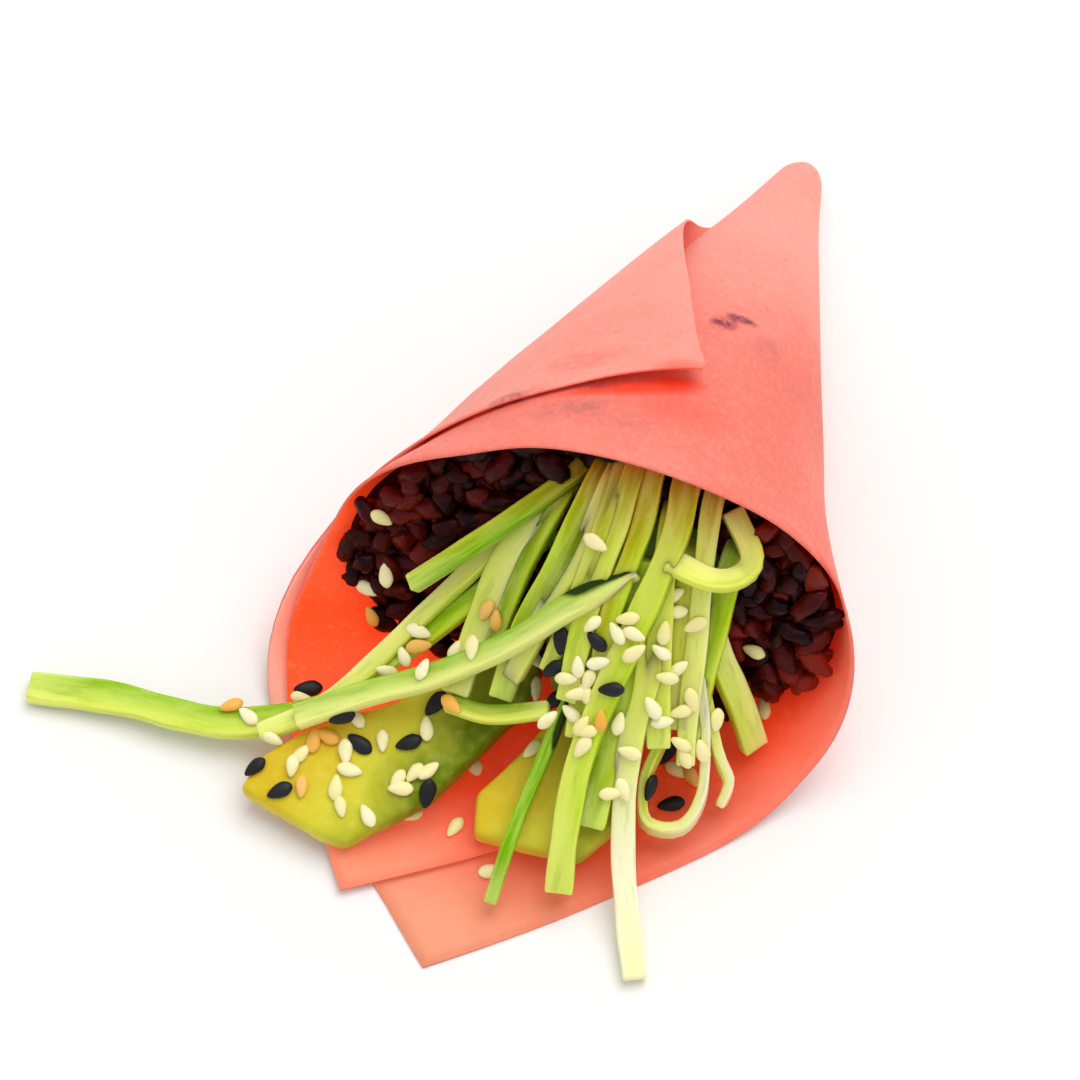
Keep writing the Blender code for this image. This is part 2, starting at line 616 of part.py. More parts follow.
def centre_on_floor(things):
    """Move the whole roll so that the middle of its base is the origin."""
    corners = [vert.co for thing in things for vert in thing.data.vertices]
    low = Vector([min(corner[k] for corner in corners) for k in range(3)])
    high = Vector([max(corner[k] for corner in corners) for k in range(3)])
    shift = Matrix.Translation((-(low.x + high.x) / 2, -(low.y + high.y) / 2, -low.z))
    for thing in things:
        thing.data.transform(shift)


def build():
    """Model the whole hand roll."""
    clear_scene()
    rng = random.Random(RANDOM_START)
    wrapper = rolled_sheet()
    boolean(wrapper, [closed_point()], "UNION")
    slices = [avocado_slice(name) for name in SLICES]
    long_strip = strip("cucumber_strip_left", *LONG_STRIP)
    bundle = bundle_body("cucumber_bundle", 0.0, BUNDLE_CORE)
    strips = [strip("strip", *row) for row in STRIPS]
    boolean(bundle, strips, "UNION")
    rice = rice_filling()
    pieces = [wrapper, rice, bundle, long_strip] + slices
    for piece in (bundle, long_strip, slices[0]):
        seeds = seeds_for(piece, [other for other in pieces if other is not piece], rng)
        boolean(piece, seeds, "UNION")
    others = [piece for piece in pieces if piece is not rice]
    boolean(rice, rice_grains(rice, others, rng), "UNION")
    for piece in slices[1:]:
        keep_main_body(piece)
    for piece in pieces:
        colour(piece)
    centre_on_floor(pieces)


build()
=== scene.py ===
"""The finished looks of a vegetarian hand roll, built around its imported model.

Each piece has an operator: the rolled soy paper, the dark rice, the bundle of cucumber strips,
the long strip at the left, the two avocado slices, the sesame seeds and the stage. Lengths in
the tables are in millimetres and in the roll's own axes, which stand at ROLL_PLACE in the frame.
"""

import math
import random

import bmesh
import bpy
import numpy as np
from bpy.props import FloatProperty, FloatVectorProperty, IntProperty, PointerProperty
from mathutils import Matrix, Vector, noise
from mathutils.bvhtree import BVHTree


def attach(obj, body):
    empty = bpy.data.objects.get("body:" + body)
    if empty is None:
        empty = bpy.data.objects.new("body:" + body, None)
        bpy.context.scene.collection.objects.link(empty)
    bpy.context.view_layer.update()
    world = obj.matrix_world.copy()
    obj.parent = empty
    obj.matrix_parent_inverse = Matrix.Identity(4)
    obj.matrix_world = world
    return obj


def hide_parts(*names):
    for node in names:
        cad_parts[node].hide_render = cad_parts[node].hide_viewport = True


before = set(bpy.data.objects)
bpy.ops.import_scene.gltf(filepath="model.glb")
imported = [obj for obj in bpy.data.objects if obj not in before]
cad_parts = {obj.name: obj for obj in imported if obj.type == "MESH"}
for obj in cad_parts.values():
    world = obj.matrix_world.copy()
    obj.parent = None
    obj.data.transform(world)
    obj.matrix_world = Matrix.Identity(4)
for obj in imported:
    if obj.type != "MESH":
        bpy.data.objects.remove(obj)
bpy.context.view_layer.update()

bl_info = {
    "name": "Vegetarian Hand Roll",
    "version": (1, 0, 0),
    "blender": (4, 5, 0),
    "location": "View3D > Sidebar > Hand Roll",
    "description": "Builds a hand roll of soy paper, dark rice, cucumber, avocado and sesame",
    "category": "Add Mesh",
}

MM = 0.001
ROLL_PLACE = Vector((5.39, -9.40, 0.0))

# The cone of paper: its point, and how fast its half width and its height grow from there.
POINT_X = 8.0
POINT_Y = 67.4
HALF_WIDTH_SLOPE = 0.374
HEIGHT_SLOPE = 0.60
MOUTH_BULGE_LEFT = 3.5
MOUTH_BULGE_RIGHT = 4.8
BULGE_REACH_LEFT = (55, 82)
BULGE_REACH_RIGHT = (50, 80)
POINT_BLUNTNESS = 0.6
BLUNT_REACH = 16.0
BLUNT_HEIGHT = 1.4
# Its section is round in the middle and flatter on the floor side towards the mouth.
FLATNESS = 1.15
MOUTH_FLATNESS = 1.3
FLAT_REACH = (68, 95)
# The upper left of its wall sinks in a little towards the mouth, round one turning angle.
HOLLOW_DEPTH = 2.0
HOLLOW_TURN = 60
HOLLOW_NARROWNESS = 7
HOLLOW_START = (56, 67)
HOLLOW_END = (72, 84)
FLOOR_GAP = 0.2

# How the layers lie: each turn inside the last, wound tighter at the tip, the outer one
# loose but snug where it ends at the mouth, the flap over the top lifted, and its corner
# lifted more.
LAYER_PITCH = 0.78
INWARD_TURNS = (200, 345)
TIP_WINDING = 0.35
WINDING_REACH = (5, 25)
LOOSE_OUTER = 0.5
LOOSE_TURNS = (90, 180)
SNUG_SHARE = 0.85
SNUG_TURNS = (68, 98)
SNUG_REACH = (48, 60)
FLAP_LIFT = 1.6
FLAP_REACH = (22, 60)
FLAP_TURNS = (75, 130)
CORNER_LIFT = 1.7
CORNER_TURNS = (-10, 28)

# The closed tip: where the sheet starts, how far its rounding reaches and how flat its end is,
# and the sections of the paper inside it as distance along the roll, offset from the cone and
# shrink.
TIP_START = 3.7
TIP_ROUNDING = 2.1
TIP_FLATNESS = 0.96
POINT_SECTIONS = [
    (3.7, -0.45, 0.25), (3.85, -0.45, 1.0), (4.2, -0.45, 1.0), (5.4, -0.5, 1.0), (7.6, -0.7, 1.0),
    (9.0, -1.3, 1.0), (11.5, -2.6, 1.0),
]
POINT_SIDES = 40
POINT_SKEW = 0.1

# The sheet's edges, as distances from the point along the roll's axis at each turning angle
# in degrees. 0 is the top, 90 the left side, 180 the floor and 270 the right side. The sheet
# starts at the flap on top, goes once round the outside and ends inside on the floor.
SHORT_EDGE = [
    (-10, 50.2), (11, 54.9), (36, 61.0), (60, 65.0), (80, 67.5), (95, 72.0), (105, 80.0),
    (112, 84.5), (123, 89.5), (145, 98.0), (164, 105.9), (176, 112.8),
]
LONG_EDGE = [
    (176, 112.8), (189, 103.6), (202, 94.9), (220, 85.0), (234, 78.3), (255, 72.1), (272, 67.5),
    (286, 64.6), (313, 64.7), (338, 66.1), (363, 67.7), (379, 68.9), (397, 71.6), (430, 73.0),
    (450, 74.4), (463, 77.9), (470, 81.9), (485, 88.7), (514, 104.0), (520, 108.2),
]
INNER_EDGE = [(520, 108.2), (524, 105.9), (556, 88.0)]
POINT_EDGE = [
    (-10, 49.2), (-7, 47.6), (3, 40.8), (11, 36.0), (23, 31.0), (44, 24.6), (66, 20.2), (82, 18.4),
    (95, 17.6), (112, 15.6), (132, 11.0), (155, TIP_START), (505, TIP_START), (530, 8.5),
    (556, 14.0),
]
PAPER_MARKS = [SHORT_EDGE[0][0], LONG_EDGE[0][0], INNER_EDGE[0][0], INNER_EDGE[-1][0]]
# A place inside the cone, how fine the sheet's mesh is, and its small waves.
CONE_MIDDLE = (POINT_X, POINT_Y - 60, 18)
PAPER_TURN_STEP = 3.0
PAPER_ROWS = 84
ROW_CROWDING = 0.7
RIPPLE = 0.22
RIPPLE_ROUND = 1.7
RIPPLE_LENGTH = 17.0
# Where the inner face pales: over the tongue, and with painted light along the rim at the left and
# a little at the right, and along the flap's edges.
TONGUE_REACH = (88, 110)
TONGUE_HEIGHT = (0.5, 4.0)
RIM_BAND = (2.4, 6.0)
RIM_TURNS = (62, 84, 128, 150)
RIGHT_RIM_TURNS = (186, 214, 268, 292)
RIGHT_RIM_BAND = 10.0
RIGHT_RIM_PALE = 0.38
FLAP_BAND = 9.0
FLAP_BACK_TURNS = (105, 130)
# Where light comes through to the inner face: at the left wall, by turn, and on the tongue,
# and how much of it is lost where the sheet lies flat.
LIT_TURNS = (425, 455, 505, 545)
LIT_REACH = (58, 78)
LIT_TONGUE = 0.30
LIT_LOSS = 0.6
# Where the outer face pales: at the tip and over the flap.
PALE_REACH = (12, 44)
PALE_FLAP = 0.75
PALE_TURNS = (55, 105)

# The rice: its front slopes back from the floor and is further forward on the left.
RICE_START = 14.0
RICE_END = 96.0
RICE_SECTIONS = 24
RICE_SIDES = 48
RICE_INSET = 1.5
RICE_FRONT_Y = -9.7
RICE_FRONT_PER_Z = 0.36
RICE_FRONT_PER_X = 0.14
CORE_BACK = 0.6
# Its grains: the part of the mouth that they are tried over and where they come from, how far
# the lower and the upper ones stand out, and how far their middles stay from each other, the
# paper and the strips.
GRAIN_SHAPES = 9
GRAIN_SPAN_X = (-26.0, 36.0)
GRAIN_SPAN_Z = (1.0, 40.0)
GRAIN_START_Y = -60.0
LOWER_SHARE = 0.6
LOWER_LIFT = (-0.4, 0.9)
UPPER_LIFT = (0.9, 2.2)
GRAIN_ROOM = 1.75
PAPER_ROOM = 1.7
STRIP_ROOM = 2.0
# Grains are lighter at the right of the mouth, and darker under the paper at the top as painted
# shade.
LIGHT_SPAN_X = (18, 28)
LIP_SHADE_SPAN_Z = (26, 36)

# The bundle's hidden core: its sides, and the y, left, right, bottom and top of each section.
CORE_SIDES = 24
BUNDLE_CORE = [
    (38, 3.5, 13.0, 8.0, 16.0), (20, 2.0, 18.5, 11.0, 25.5), (6, 2.5, 21.0, 13.0, 30.5),
    (-1, 2.5, 21.0, 14.0, 29.0), (-7, 3.5, 20.5, 14.0, 23.0), (-13, 6.0, 19.5, 12.5, 16.0),
    (-17, 9.0, 18.0, 11.5, 13.0),
]

# Cucumber strips: width, thickness, the colours of their two sides, and the points that each
# passes through, from the bundle to its free end.
STRIPS = [
    (2.0, 1.7, "pale", "clear", [(1.5, 1.0, 27.0), (-4.0, -7.0, 20.0), (-8.0, -12.5, 15.0),
     (-14.5, -23.5, 9.5), (-21.0, -29.0, 6.0)]),
    (2.2, 1.6, "lime", "skin", [(2.0, -2.0, 22.0), (-5.5, -12.0, 14.5), (-12.0, -20.0, 10.0)]),
    (2.6, 1.8, "clear", "skin", [(13.5, -6.0, 28.0), (8.0, -10.5, 25.0), (3.0, -14.5, 20.0),
     (-4.0, -19.0, 15.0), (-11.5, -23.0, 11.5), (-17.5, -27.0, 9.0)]),
    (2.0, 1.8, "bright", "lime", [(3.5, 1.0, 31.0), (-2.5, -5.5, 26.0), (-10.0, -12.0, 19.0)]),
    (3.1, 1.8, "clear", "pale", [(2.5, 0.0, 29.0), (-1.0, -6.0, 22.5), (-2.0, -13.0, 15.0),
     (-2.0, -19.5, 12.5)]),
    (1.8, 1.8, "lime", "green", [(3.0, -1.0, 29.0), (1.0, -7.5, 21.5), (0.0, -14.0, 14.5)]),
    (2.6, 2.0, "green", "lime", [(6.5, 0.5, 33.0), (5.0, -7.0, 26.0), (3.0, -12.5, 18.0),
     (3.0, -18.5, 13.5)]),
    (2.2, 1.8, "pale", "clear", [(8.0, 0.5, 34.0), (7.0, -5.5, 28.0), (5.0, -11.5, 21.0),
     (3.5, -16.5, 15.0)]),
    (1.8, 1.8, "lime", "pale", [(8.5, 1.5, 34.5), (8.5, -4.0, 30.5), (8.0, -9.5, 24.0),
     (7.0, -15.0, 17.0)]),
    (2.4, 2.0, "pale", "lime", [(10.0, 2.0, 35.0), (10.0, -2.5, 31.5), (9.5, -10.0, 24.0),
     (10.0, -17.0, 16.0)]),
    (2.2, 2.0, "lime", "yellow", [(12.0, 2.5, 35.0), (12.5, -2.5, 31.0), (12.0, -10.0, 23.5),
     (13.0, -16.0, 16.5)]),
    (2.9, 2.0, "lime", "pale", [(15.5, 2.5, 34.5), (16.0, -3.0, 30.0), (14.0, -15.5, 18.5),
     (13.5, -22.5, 12.5), (14.5, -29.0, 7.4), (15.5, -33.0, 3.4)]),
    (2.3, 1.8, "clear", "pale", [(18.5, 3.0, 33.5), (19.5, -2.0, 28.5), (21.0, -7.5, 21.0),
     (22.5, -13.5, 14.0), (23.6, -16.8, 10.2)]),
    (2.6, 1.3, "clear", "pale", [(16.0, -4.0, 29.5), (21.0, -4.0, 28.5), (23.5, -2.0, 27.5),
     (24.0, 0.0, 29.0), (20.5, 3.0, 31.5)]),
    (2.6, 1.8, "lime", "green", [(22.0, 0.0, 26.5), (22.5, -8.0, 17.5), (23.0, -14.5, 11.5)]),
    (3.0, 1.6, "clear", "lime", [(20.0, -4.5, 23.5), (23.0, -6.5, 17.5), (26.5, -8.0, 10.0),
     (29.0, -9.5, 4.0)]),
    (2.6, 2.0, "pale", "lime", [(15.0, 0.0, 31.0), (16.5, -6.5, 25.0), (18.5, -12.5, 18.0),
     (20.5, -17.0, 12.5)]),
    (3.2, 2.0, "lime", "green", [(13.0, -4.0, 27.5), (14.5, -11.0, 20.0), (15.5, -18.0, 13.5),
     (16.5, -26.5, 7.8)]),
    (2.6, 1.7, "white", "white", [(15.5, -6.5, 24.5), (17.5, -13.0, 18.5), (18.0, -19.5, 12.5),
     (20.5, -27.0, 6.0), (23.5, -33.0, 2.4), (26.5, -38.5, 1.2)]),
    (1.4, 1.6, "skin", "bright", [(10.0, -15.0, 17.0), (9.5, -20.5, 12.0), (9.0, -27.0, 8.0),
     (9.0, -31.5, 6.4), (9.0, -36.5, 2.3)]),
    (1.1, 2.6, "clear", "white", [(21.0, -10.5, 16.5), (20.5, -15.5, 11.5), (20.0, -19.5, 7.5),
     (21.5, -22.5, 4.5), (25.0, -21.5, 4.0), (26.0, -18.0, 6.0), (24.5, -13.5, 11.5),
     (22.0, -9.5, 17.0)]),
    (1.1, 1.8, "white", "clear", [(22.5, -9.5, 16.5), (26.0, -13.5, 9.0), (28.0, -15.0, 5.0),
     (28.0, -17.0, 3.0)]),
    (2.0, 1.3, "green", "pale", [(-2.5, -20.5, 12.0), (2.5, -20.5, 13.0), (8.5, -18.5, 15.0)]),
    (2.4, 2.0, "lime", "pale", [(9.0, -5.0, 26.0), (10.5, -13.0, 18.0), (12.0, -19.5, 13.0)]),
    (2.4, 2.0, "pale", "yellow", [(18.0, -2.0, 27.0), (19.5, -8.5, 19.5), (21.5, -14.5, 13.0)]),
]
LONG_STRIP = (3.4, 1.7, "pale", "bright", [(-14.5, -22.0, 5.2), (-18.5, -25.0, 4.4),
                                           (-25.0, -28.0, 3.4), (-31.0, -29.0, 2.8),
                                           (-38.5, -29.5, 2.0), (-48.0, -31.5, 1.2)])
# How a strip is cut: the step along it, the rounding of its edges, its swelling, the hollow of
# its sides, its fibres, and the angle of the edges that are rounded.
STRIP_STEP = 0.9
STRIP_BEVEL = 0.26
STRIP_SWELL = 0.16
STRIP_HOLLOW = 0.10
STRIP_FIBRE = 0.05
SHARP_ANGLE = 0.7
# Strips that start behind this y come out of the cone, and go on into it by these points.
STRIP_MOUTH_Y = -3.0
STRIP_TAILS = ((0.0, 5.0, -3.0), (0.0, 10.0, -8.5))
# A strip with skin on it starts thin, and its skin is dark over its first stretch.
SKIN_TAPER = (0.35, 7.0)
SKIN_FADE = (6.0, 10.0)
# A white strip is as pale green as its neighbours over its first share.
WHITE_FADE = (0.25, 0.75)
# Strips are darker and warmer close under the paper, as painted shade tinted by orange light from
# the paper, and clearer towards their free ends.
UNDER_PAPER_SPAN_Y = (-7.0, 3.0)
UNDER_PAPER_SPAN_Z = (25, 33)
UNDER_PAPER_SHARE = 0.82
END_REACH = (0.75, 1.0)
END_SHARE = 0.35

# Avocado slices: outline seen from above, the front's y, and the top's and the underside's
# height at the front with their slopes.
SLICES = {
    "avocado_slice_left": ([(-20.9, -35.1), (-20.0, -31.0), (-17.1, -27.4), (-8.1, -20.5),
                            (-3.0, -14.0), (1.0, -11.0), (5.0, -11.5), (5.0, -16.0),
                            (2.5, -21.5), (-1.0, -29.1), (-7.8, -36.7), (-10.9, -36.9)],
                           -36.5, (4.3, 0.27), (1.75, 0.20)),
    "avocado_slice_right": ([(4.7, -30.6), (3.3, -26.5), (6.7, -19.7), (8.5, -14.0),
                             (16.5, -13.5), (18.5, -19.0), (18.5, -25.2), (16.2, -29.2),
                             (12.0, -29.8)],
                            -30.6, (4.6, 0.28), (1.75, 0.25)),
}

# How the slices are softened: their rounding, their even mesh, the times that it is smoothed,
# and the scale and height of their waves.
SLICE_BEVEL = 0.55
SLICE_VOXEL = 0.00032
SLICE_SMOOTHING = 3
SLICE_WAVES = ((260.0, 0.16), (900.0, 0.05))
# Where each slice's colour starts and ends its way from yellow to green.
SLICE_FADES = {"avocado_slice_left": ((-15.0, -26.0, 6.0), (-2.0, -30.0, 6.0)),
               "avocado_slice_right": ((5.0, -25.0, 6.0), (20.0, -30.0, 6.0))}

# Where each seed shows in the 1080-pixel frame. Black ones have their heading in degrees too.
BLACK_SEEDS = [
    (175, 689, 5), (308, 689, 5), (342, 716, 20), (280, 791, 25), (360, 744, -38), (409, 743, 18),
    (436, 704, 50), (427, 793, 80), (562, 640, 82), (597, 641, -48), (554, 668, 33), (612, 689, 3),
    (556, 700, 30), (666, 754, 55), (648, 787, 72), (671, 805, 12), (256, 768, 40),
]
WHITE_SEEDS = [
    (596, 542), (593, 623), (628, 618), (618, 633), (635, 634), (634, 652), (599, 662), (578, 666),
    (567, 678), (589, 679), (534, 688), (536, 661), (547, 718), (577, 693), (588, 695), (571, 713),
    (582, 725), (588, 731), (583, 746), (533, 750), (619, 723), (675, 594), (676, 611), (664, 632),
    (661, 651), (679, 667), (667, 677), (696, 624), (692, 699), (681, 711), (652, 707), (662, 721),
    (716, 719), (630, 752), (623, 789), (610, 793), (702, 750), (681, 743), (685, 757), (676, 771),
    (419, 631), (404, 656), (386, 670), (456, 651), (473, 648), (424, 670), (357, 718), (302, 754),
    (293, 766), (346, 752), (383, 741), (427, 729), (350, 770), (336, 788), (341, 807), (368, 816),
    (398, 780), (401, 789), (415, 773), (429, 771), (412, 816), (474, 765), (249, 689), (249, 717),
    (273, 737), (301, 698), (455, 828), (491, 872), (381, 517), (386, 575), (368, 588), (755, 651),
    (765, 708),
]
TOASTED_SEEDS = [
    (601, 720), (692, 778), (419, 646), (487, 610), (497, 620), (452, 705), (328, 737), (314, 741),
    (302, 787), (232, 707), (372, 616),
]

# How a seed lies: its sinking in metres, the pixels and millimetres that its ground is felt
# over, and how much the ground beside it and the camera turn it.
SEED_SINK = 0.00012
GROUND_PIXELS = 7.0
GROUND_REACH = 3.0
GROUND_SHARE = 0.7
FACING_SHARE = 0.35

# Markings on the paper: the pixel of the middle, half sizes in metres, the turn in degrees, the
# strength, and the colour's name. The glow marks are painted light where light comes through the
# paper; the darker marks below the flap's edge are painted shade, and the rest darken the paper
# where the rice lies behind it.
PAPER_MARKINGS = [
    ((676, 384), (0.0042, 0.0024, 0.0050), -34.0, 1.00, "glow"),
    ((632, 388), (0.0062, 0.0017, 0.0050), -32.0, 0.85, "glow"),
    ((590, 391), (0.0040, 0.0009, 0.0040), -30.0, 0.60, "glow"),
    ((676, 410), (0.0080, 0.0042, 0.0080), -20.0, 0.30, "glow"),
    ((826, 566), (0.0032, 0.0008, 0.0050), 38.0, 0.45, "glow"),
    ((801, 539), (0.0030, 0.0006, 0.0040), 22.0, 0.25, "glow"),
    ((588, 359), (0.0060, 0.0024, 0.0050), -34.0, 0.85, "outside"),
    ((580, 407), (0.0068, 0.0022, 0.0070), -28.0, 0.85, "dull_and_shade"),
    ((622, 420), (0.0060, 0.0026, 0.0060), -20.0, 0.60, "dull_and_shade"),
    ((520, 400), (0.0050, 0.0016, 0.0050), -34.0, 0.60, "dull_and_shade"),
    ((768, 350), (0.0026, 0.0036, 0.0060), -10.0, 0.60, "dull_and_shade"),
    ((712, 332), (0.0020, 0.0016, 0.0040), -40.0, 0.60, "dull_and_shade"),
    ((742, 312), (0.0030, 0.0016, 0.0040), -15.0, 0.30, "dull_and_shade"),
    ((795, 390), (0.0026, 0.0050, 0.0080), 0.0, 0.30, "dull_and_shade"),
    ((725, 323), (0.0023, 0.0015, 0.0040), -50.0, 1.5, "stain"),
    ((743, 320), (0.0024, 0.0009, 0.0040), -11.0, 1.4, "stain"),
    ((507, 398), (0.0024, 0.0008, 0.0030), -30.0, 1.1, "stain"),
    ((600, 387), (0.0026, 0.0006, 0.0030), -32.0, 0.9, "stain"),
]

# The camera: degrees round and up, and millimetres.
VIEW_AZIMUTH = 22.0
VIEW_ELEVATION = 63.0
VIEW_DISTANCE = 480.0
VIEW_HEIGHT = 15.0
PIXELS_PER_MM = 9.2
IMAGE_SIDE = 1080
SENSOR = 36.0
# The stage, in metres.
FLOOR_HALF = 3.0
LAMP_SIZE = 0.7
LAMP_PLACE = (0.10, 0.28, 0.82)


def screen(red, green, blue):
    """A colour given as it looks on a screen, from 0 to 255, as light values."""
    shares = [value / 255 for value in (red, green, blue)]
    return tuple(s / 12.92 if s <= 0.04045 else ((s + 0.055) / 1.055) ** 2.4 for s in shares)


def length(label, about, value):
    """A length that the user may change."""
    return FloatProperty(name=label, description=about, default=value, min=0.0, precision=5,
                         unit="LENGTH", subtype="DISTANCE")


def tint(label, about, value):
    """A colour that the user may change."""
    return FloatVectorProperty(name=label, description=about, default=value, size=3, min=0.0,
                               max=1.0, subtype="COLOR")


class PaperSettings(bpy.types.PropertyGroup):
    """Thickness and colours of the soy paper."""
    thickness: length("Thickness", "Thickness of the sheet", 0.00030)
    outside: tint("Outside", "Colour of the outer face", screen(239, 110, 93))
    outside_pale: tint("Outside, pale", "Outer face of flap and tip", screen(252, 152, 138))
    # painted light: the inner face takes this paler colour close to the rim and along the flap's
    # edges
    rim: tint("Rim", "Inner face close to the rim", screen(252, 176, 158))
    inside: tint("Inside", "Colour of the inner face", screen(255, 78, 30))
    inside_edge: tint("Inside, flat", "Inner face where it lies flat", screen(252, 150, 118))
    stain: tint("Stain", "Colour of the dark smears left by the rice", screen(134, 44, 68))
    # partly painted shade: the darker marks below the flap's edge stand for the flap's shadow
    dull_and_shade: tint("Dull", "Colour where the rice darkens the paper", screen(196, 104, 98))
    glow: tint("Glow", "Colour of the light that comes through", screen(255, 62, 22))
    shine_through: FloatProperty(name="Shine through", description="Strength of the light that "
                                 "comes through the left wall", default=0.55, min=0.0)


class RiceSettings(bpy.types.PropertyGroup):
    """Size, number and colours of the rice grains."""
    grain_length: length("Grain length", "Length of a cooked grain", 0.0045)
    grain_width: length("Grain width", "Width of a cooked grain", 0.0024)
    grains: IntProperty(name="Grains", description="Most grains that are tried", default=6500)
    dark: tint("Dark", "Colour of most of the grains", screen(19, 1, 3))
    red: tint("Red", "Colour of the lighter grains", screen(130, 30, 14))


class CucumberSettings(bpy.types.PropertyGroup):
    """Colours of the cut cucumber."""
    pale: tint("Pale", "Flesh near the seeds", screen(218, 230, 94))
    clear: tint("Clear", "Glassy flesh of the middle", screen(236, 242, 146))
    lime: tint("Lime", "Flesh between middle and skin", screen(190, 216, 34))
    yellow: tint("Yellow", "Yellowish flesh", screen(190, 180, 24))
    green: tint("Green", "Flesh close to the skin", screen(100, 138, 0))
    bright: tint("Bright", "Bright green just under the skin", screen(126, 180, 0))
    skin: tint("Skin", "Dark green skin", screen(12, 50, 8))
    white: tint("White", "Thin flesh that lets the light through", screen(255, 254, 216))
    # painted shade: the strips' colour close under the paper, tinted by orange light from the
    # paper
    under_paper_shade: tint("Warm", "Tint close under the paper", screen(168, 106, 0))


class AvocadoSettings(bpy.types.PropertyGroup):
    """Colours of the avocado slices."""
    yellow: tint("Yellow", "Flesh near the stone", screen(218, 186, 30))
    cream: tint("Cream", "Pale flesh", screen(214, 208, 58))
    green: tint("Green", "Flesh near the skin", screen(104, 126, 0))


class SesameSettings(bpy.types.PropertyGroup):
    """Size and colours of the sesame seeds."""
    seed_length: length("Length", "Length of a seed", 0.0031)
    seed_width: length("Width", "Width of a seed", 0.0019)
    seed_thickness: length("Thickness", "Thickness of a seed", 0.0010)
    white_share: FloatProperty(name="White seed size", description="Size of a white seed "
                               "next to a black one", default=0.86, min=0.0, subtype="FACTOR")
    white: tint("White", "Hulled seed", screen(244, 232, 158))
    toasted: tint("Toasted", "Toasted seed", screen(240, 174, 66))
    black: tint("Black", "Black seed", screen(9, 9, 13))


class StageSettings(bpy.types.PropertyGroup):
    """The floor and the light."""
    floor: tint("Floor", "Colour of the floor", (0.87, 0.845, 0.83))
    sky: FloatProperty(name="Sky", description="Strength of the even light", default=0.70)
    key: FloatProperty(name="Key", description="Power of the large lamp in watts", default=5.0)


def smooth_step(start, end, value):
    """Go smoothly from 0 at start to 1 at end."""
    part = min(max((value - start) / (end - start), 0.0), 1.0)
    return part * part * (3.0 - 2.0 * part)


def harmonic(a, b):
    """Harmonic mean of two slopes, or 0 where they have opposite signs."""
    return 2.0 * a * b / (a + b) if a * b > 0 else 0.0


def curve_value(points, place):
    """Read a smooth curve through points of (place, value), without overshoot."""
    for index in range(len(points) - 1):
        if place <= points[index + 1][0] or index == len(points) - 2:
            break
    (x0, y0), (x1, y1) = points[index], points[index + 1]
    span = x1 - x0
    slope = (y1 - y0) / span
    before = points[index - 1] if index > 0 else None
    after = points[index + 2] if index + 2 < len(points) else None
    slope_before = (y0 - before[1]) / (x0 - before[0]) if before else slope
    slope_after = (after[1] - y1) / (after[0] - x1) if after else slope
    tangent0 = harmonic(slope_before, slope)
    tangent1 = harmonic(slope, slope_after)
    t = min(max((place - x0) / span, 0.0), 1.0)
    return (y0 * (1 + 2 * t) * (1 - t) ** 2 + span * tangent0 * t * (1 - t) ** 2
            + y1 * t * t * (3 - 2 * t) + span * tangent1 * t * t * (t - 1))


def mix(low, high, share):
    """A colour between two others."""
    return tuple(a + (b - a) * share for a, b in zip(low, high))


def in_frame(point):
    """A point of the roll's own axes, in millimetres, as a place in the frame."""
    return (Vector(point) + ROLL_PLACE) * MM


def rim(turn):
    """Distance from the point to the sheet's edge at the mouth."""
    if turn <= PAPER_MARKS[1]:
        return curve_value(SHORT_EDGE, turn)
    if turn <= PAPER_MARKS[2]:
        return curve_value(LONG_EDGE, turn)
    return curve_value(INNER_EDGE, turn)


def layer_offset(turn, along):
    """How far the sheet lies outside the cone's own surface: less after each turn."""
    winding = TIP_WINDING + (1.0 - TIP_WINDING) * smooth_step(*WINDING_REACH, along)
    inward = LAYER_PITCH * winding * smooth_step(*INWARD_TURNS, turn)
    loose = LOOSE_OUTER * (1.0 - smooth_step(*LOOSE_TURNS, turn))
    snug = SNUG_SHARE * (1.0 - smooth_step(*SNUG_TURNS, turn)) * smooth_step(*SNUG_REACH, along)
    loose *= 1.0 - snug
    flap = FLAP_LIFT * (1.0 - smooth_step(*FLAP_REACH, along))
    flap *= 1.0 - smooth_step(*FLAP_TURNS, turn)
    corner = CORNER_LIFT * (1.0 - smooth_step(*CORNER_TURNS, turn))
    return loose + flap + corner - inward


def cone_point(turn, along, offset):
    """A point of the cone's surface, moved out by offset."""
    angle = math.radians(turn)
    on_left = math.sin(angle) > 0
    bulge = MOUTH_BULGE_LEFT if on_left else MOUTH_BULGE_RIGHT
    reach = BULGE_REACH_LEFT if on_left else BULGE_REACH_RIGHT
    at_turn = ((1.0 + math.cos(angle - math.radians(HOLLOW_TURN))) / 2.0) ** HOLLOW_NARROWNESS
    at_mouth = smooth_step(*HOLLOW_START, along) * (1.0 - smooth_step(*HOLLOW_END, along))
    offset = offset - HOLLOW_DEPTH * at_turn * at_mouth
    blunt = POINT_BLUNTNESS * (1.0 - smooth_step(0, BLUNT_REACH, along))
    half = HALF_WIDTH_SLOPE * along + bulge * smooth_step(*reach, along) + blunt
    height = HEIGHT_SLOPE * along + BLUNT_HEIGHT * blunt
    flatness = FLATNESS + MOUTH_FLATNESS * smooth_step(*FLAT_REACH, along)
    rise = ((1.0 + math.cos(angle)) / 2.0) ** flatness
    into_tip = min(max(1.0 - (along - TIP_START) / TIP_ROUNDING, 0.0), TIP_FLATNESS)
    dome = math.sqrt(1.0 - into_tip * into_tip)
    return Vector((POINT_X - math.sin(angle) * (half + offset) * dome,
                   POINT_Y - along,
                   FLOOR_GAP + height / 2 + (height / 2 + offset) * (2.0 * rise - 1.0) * dome))


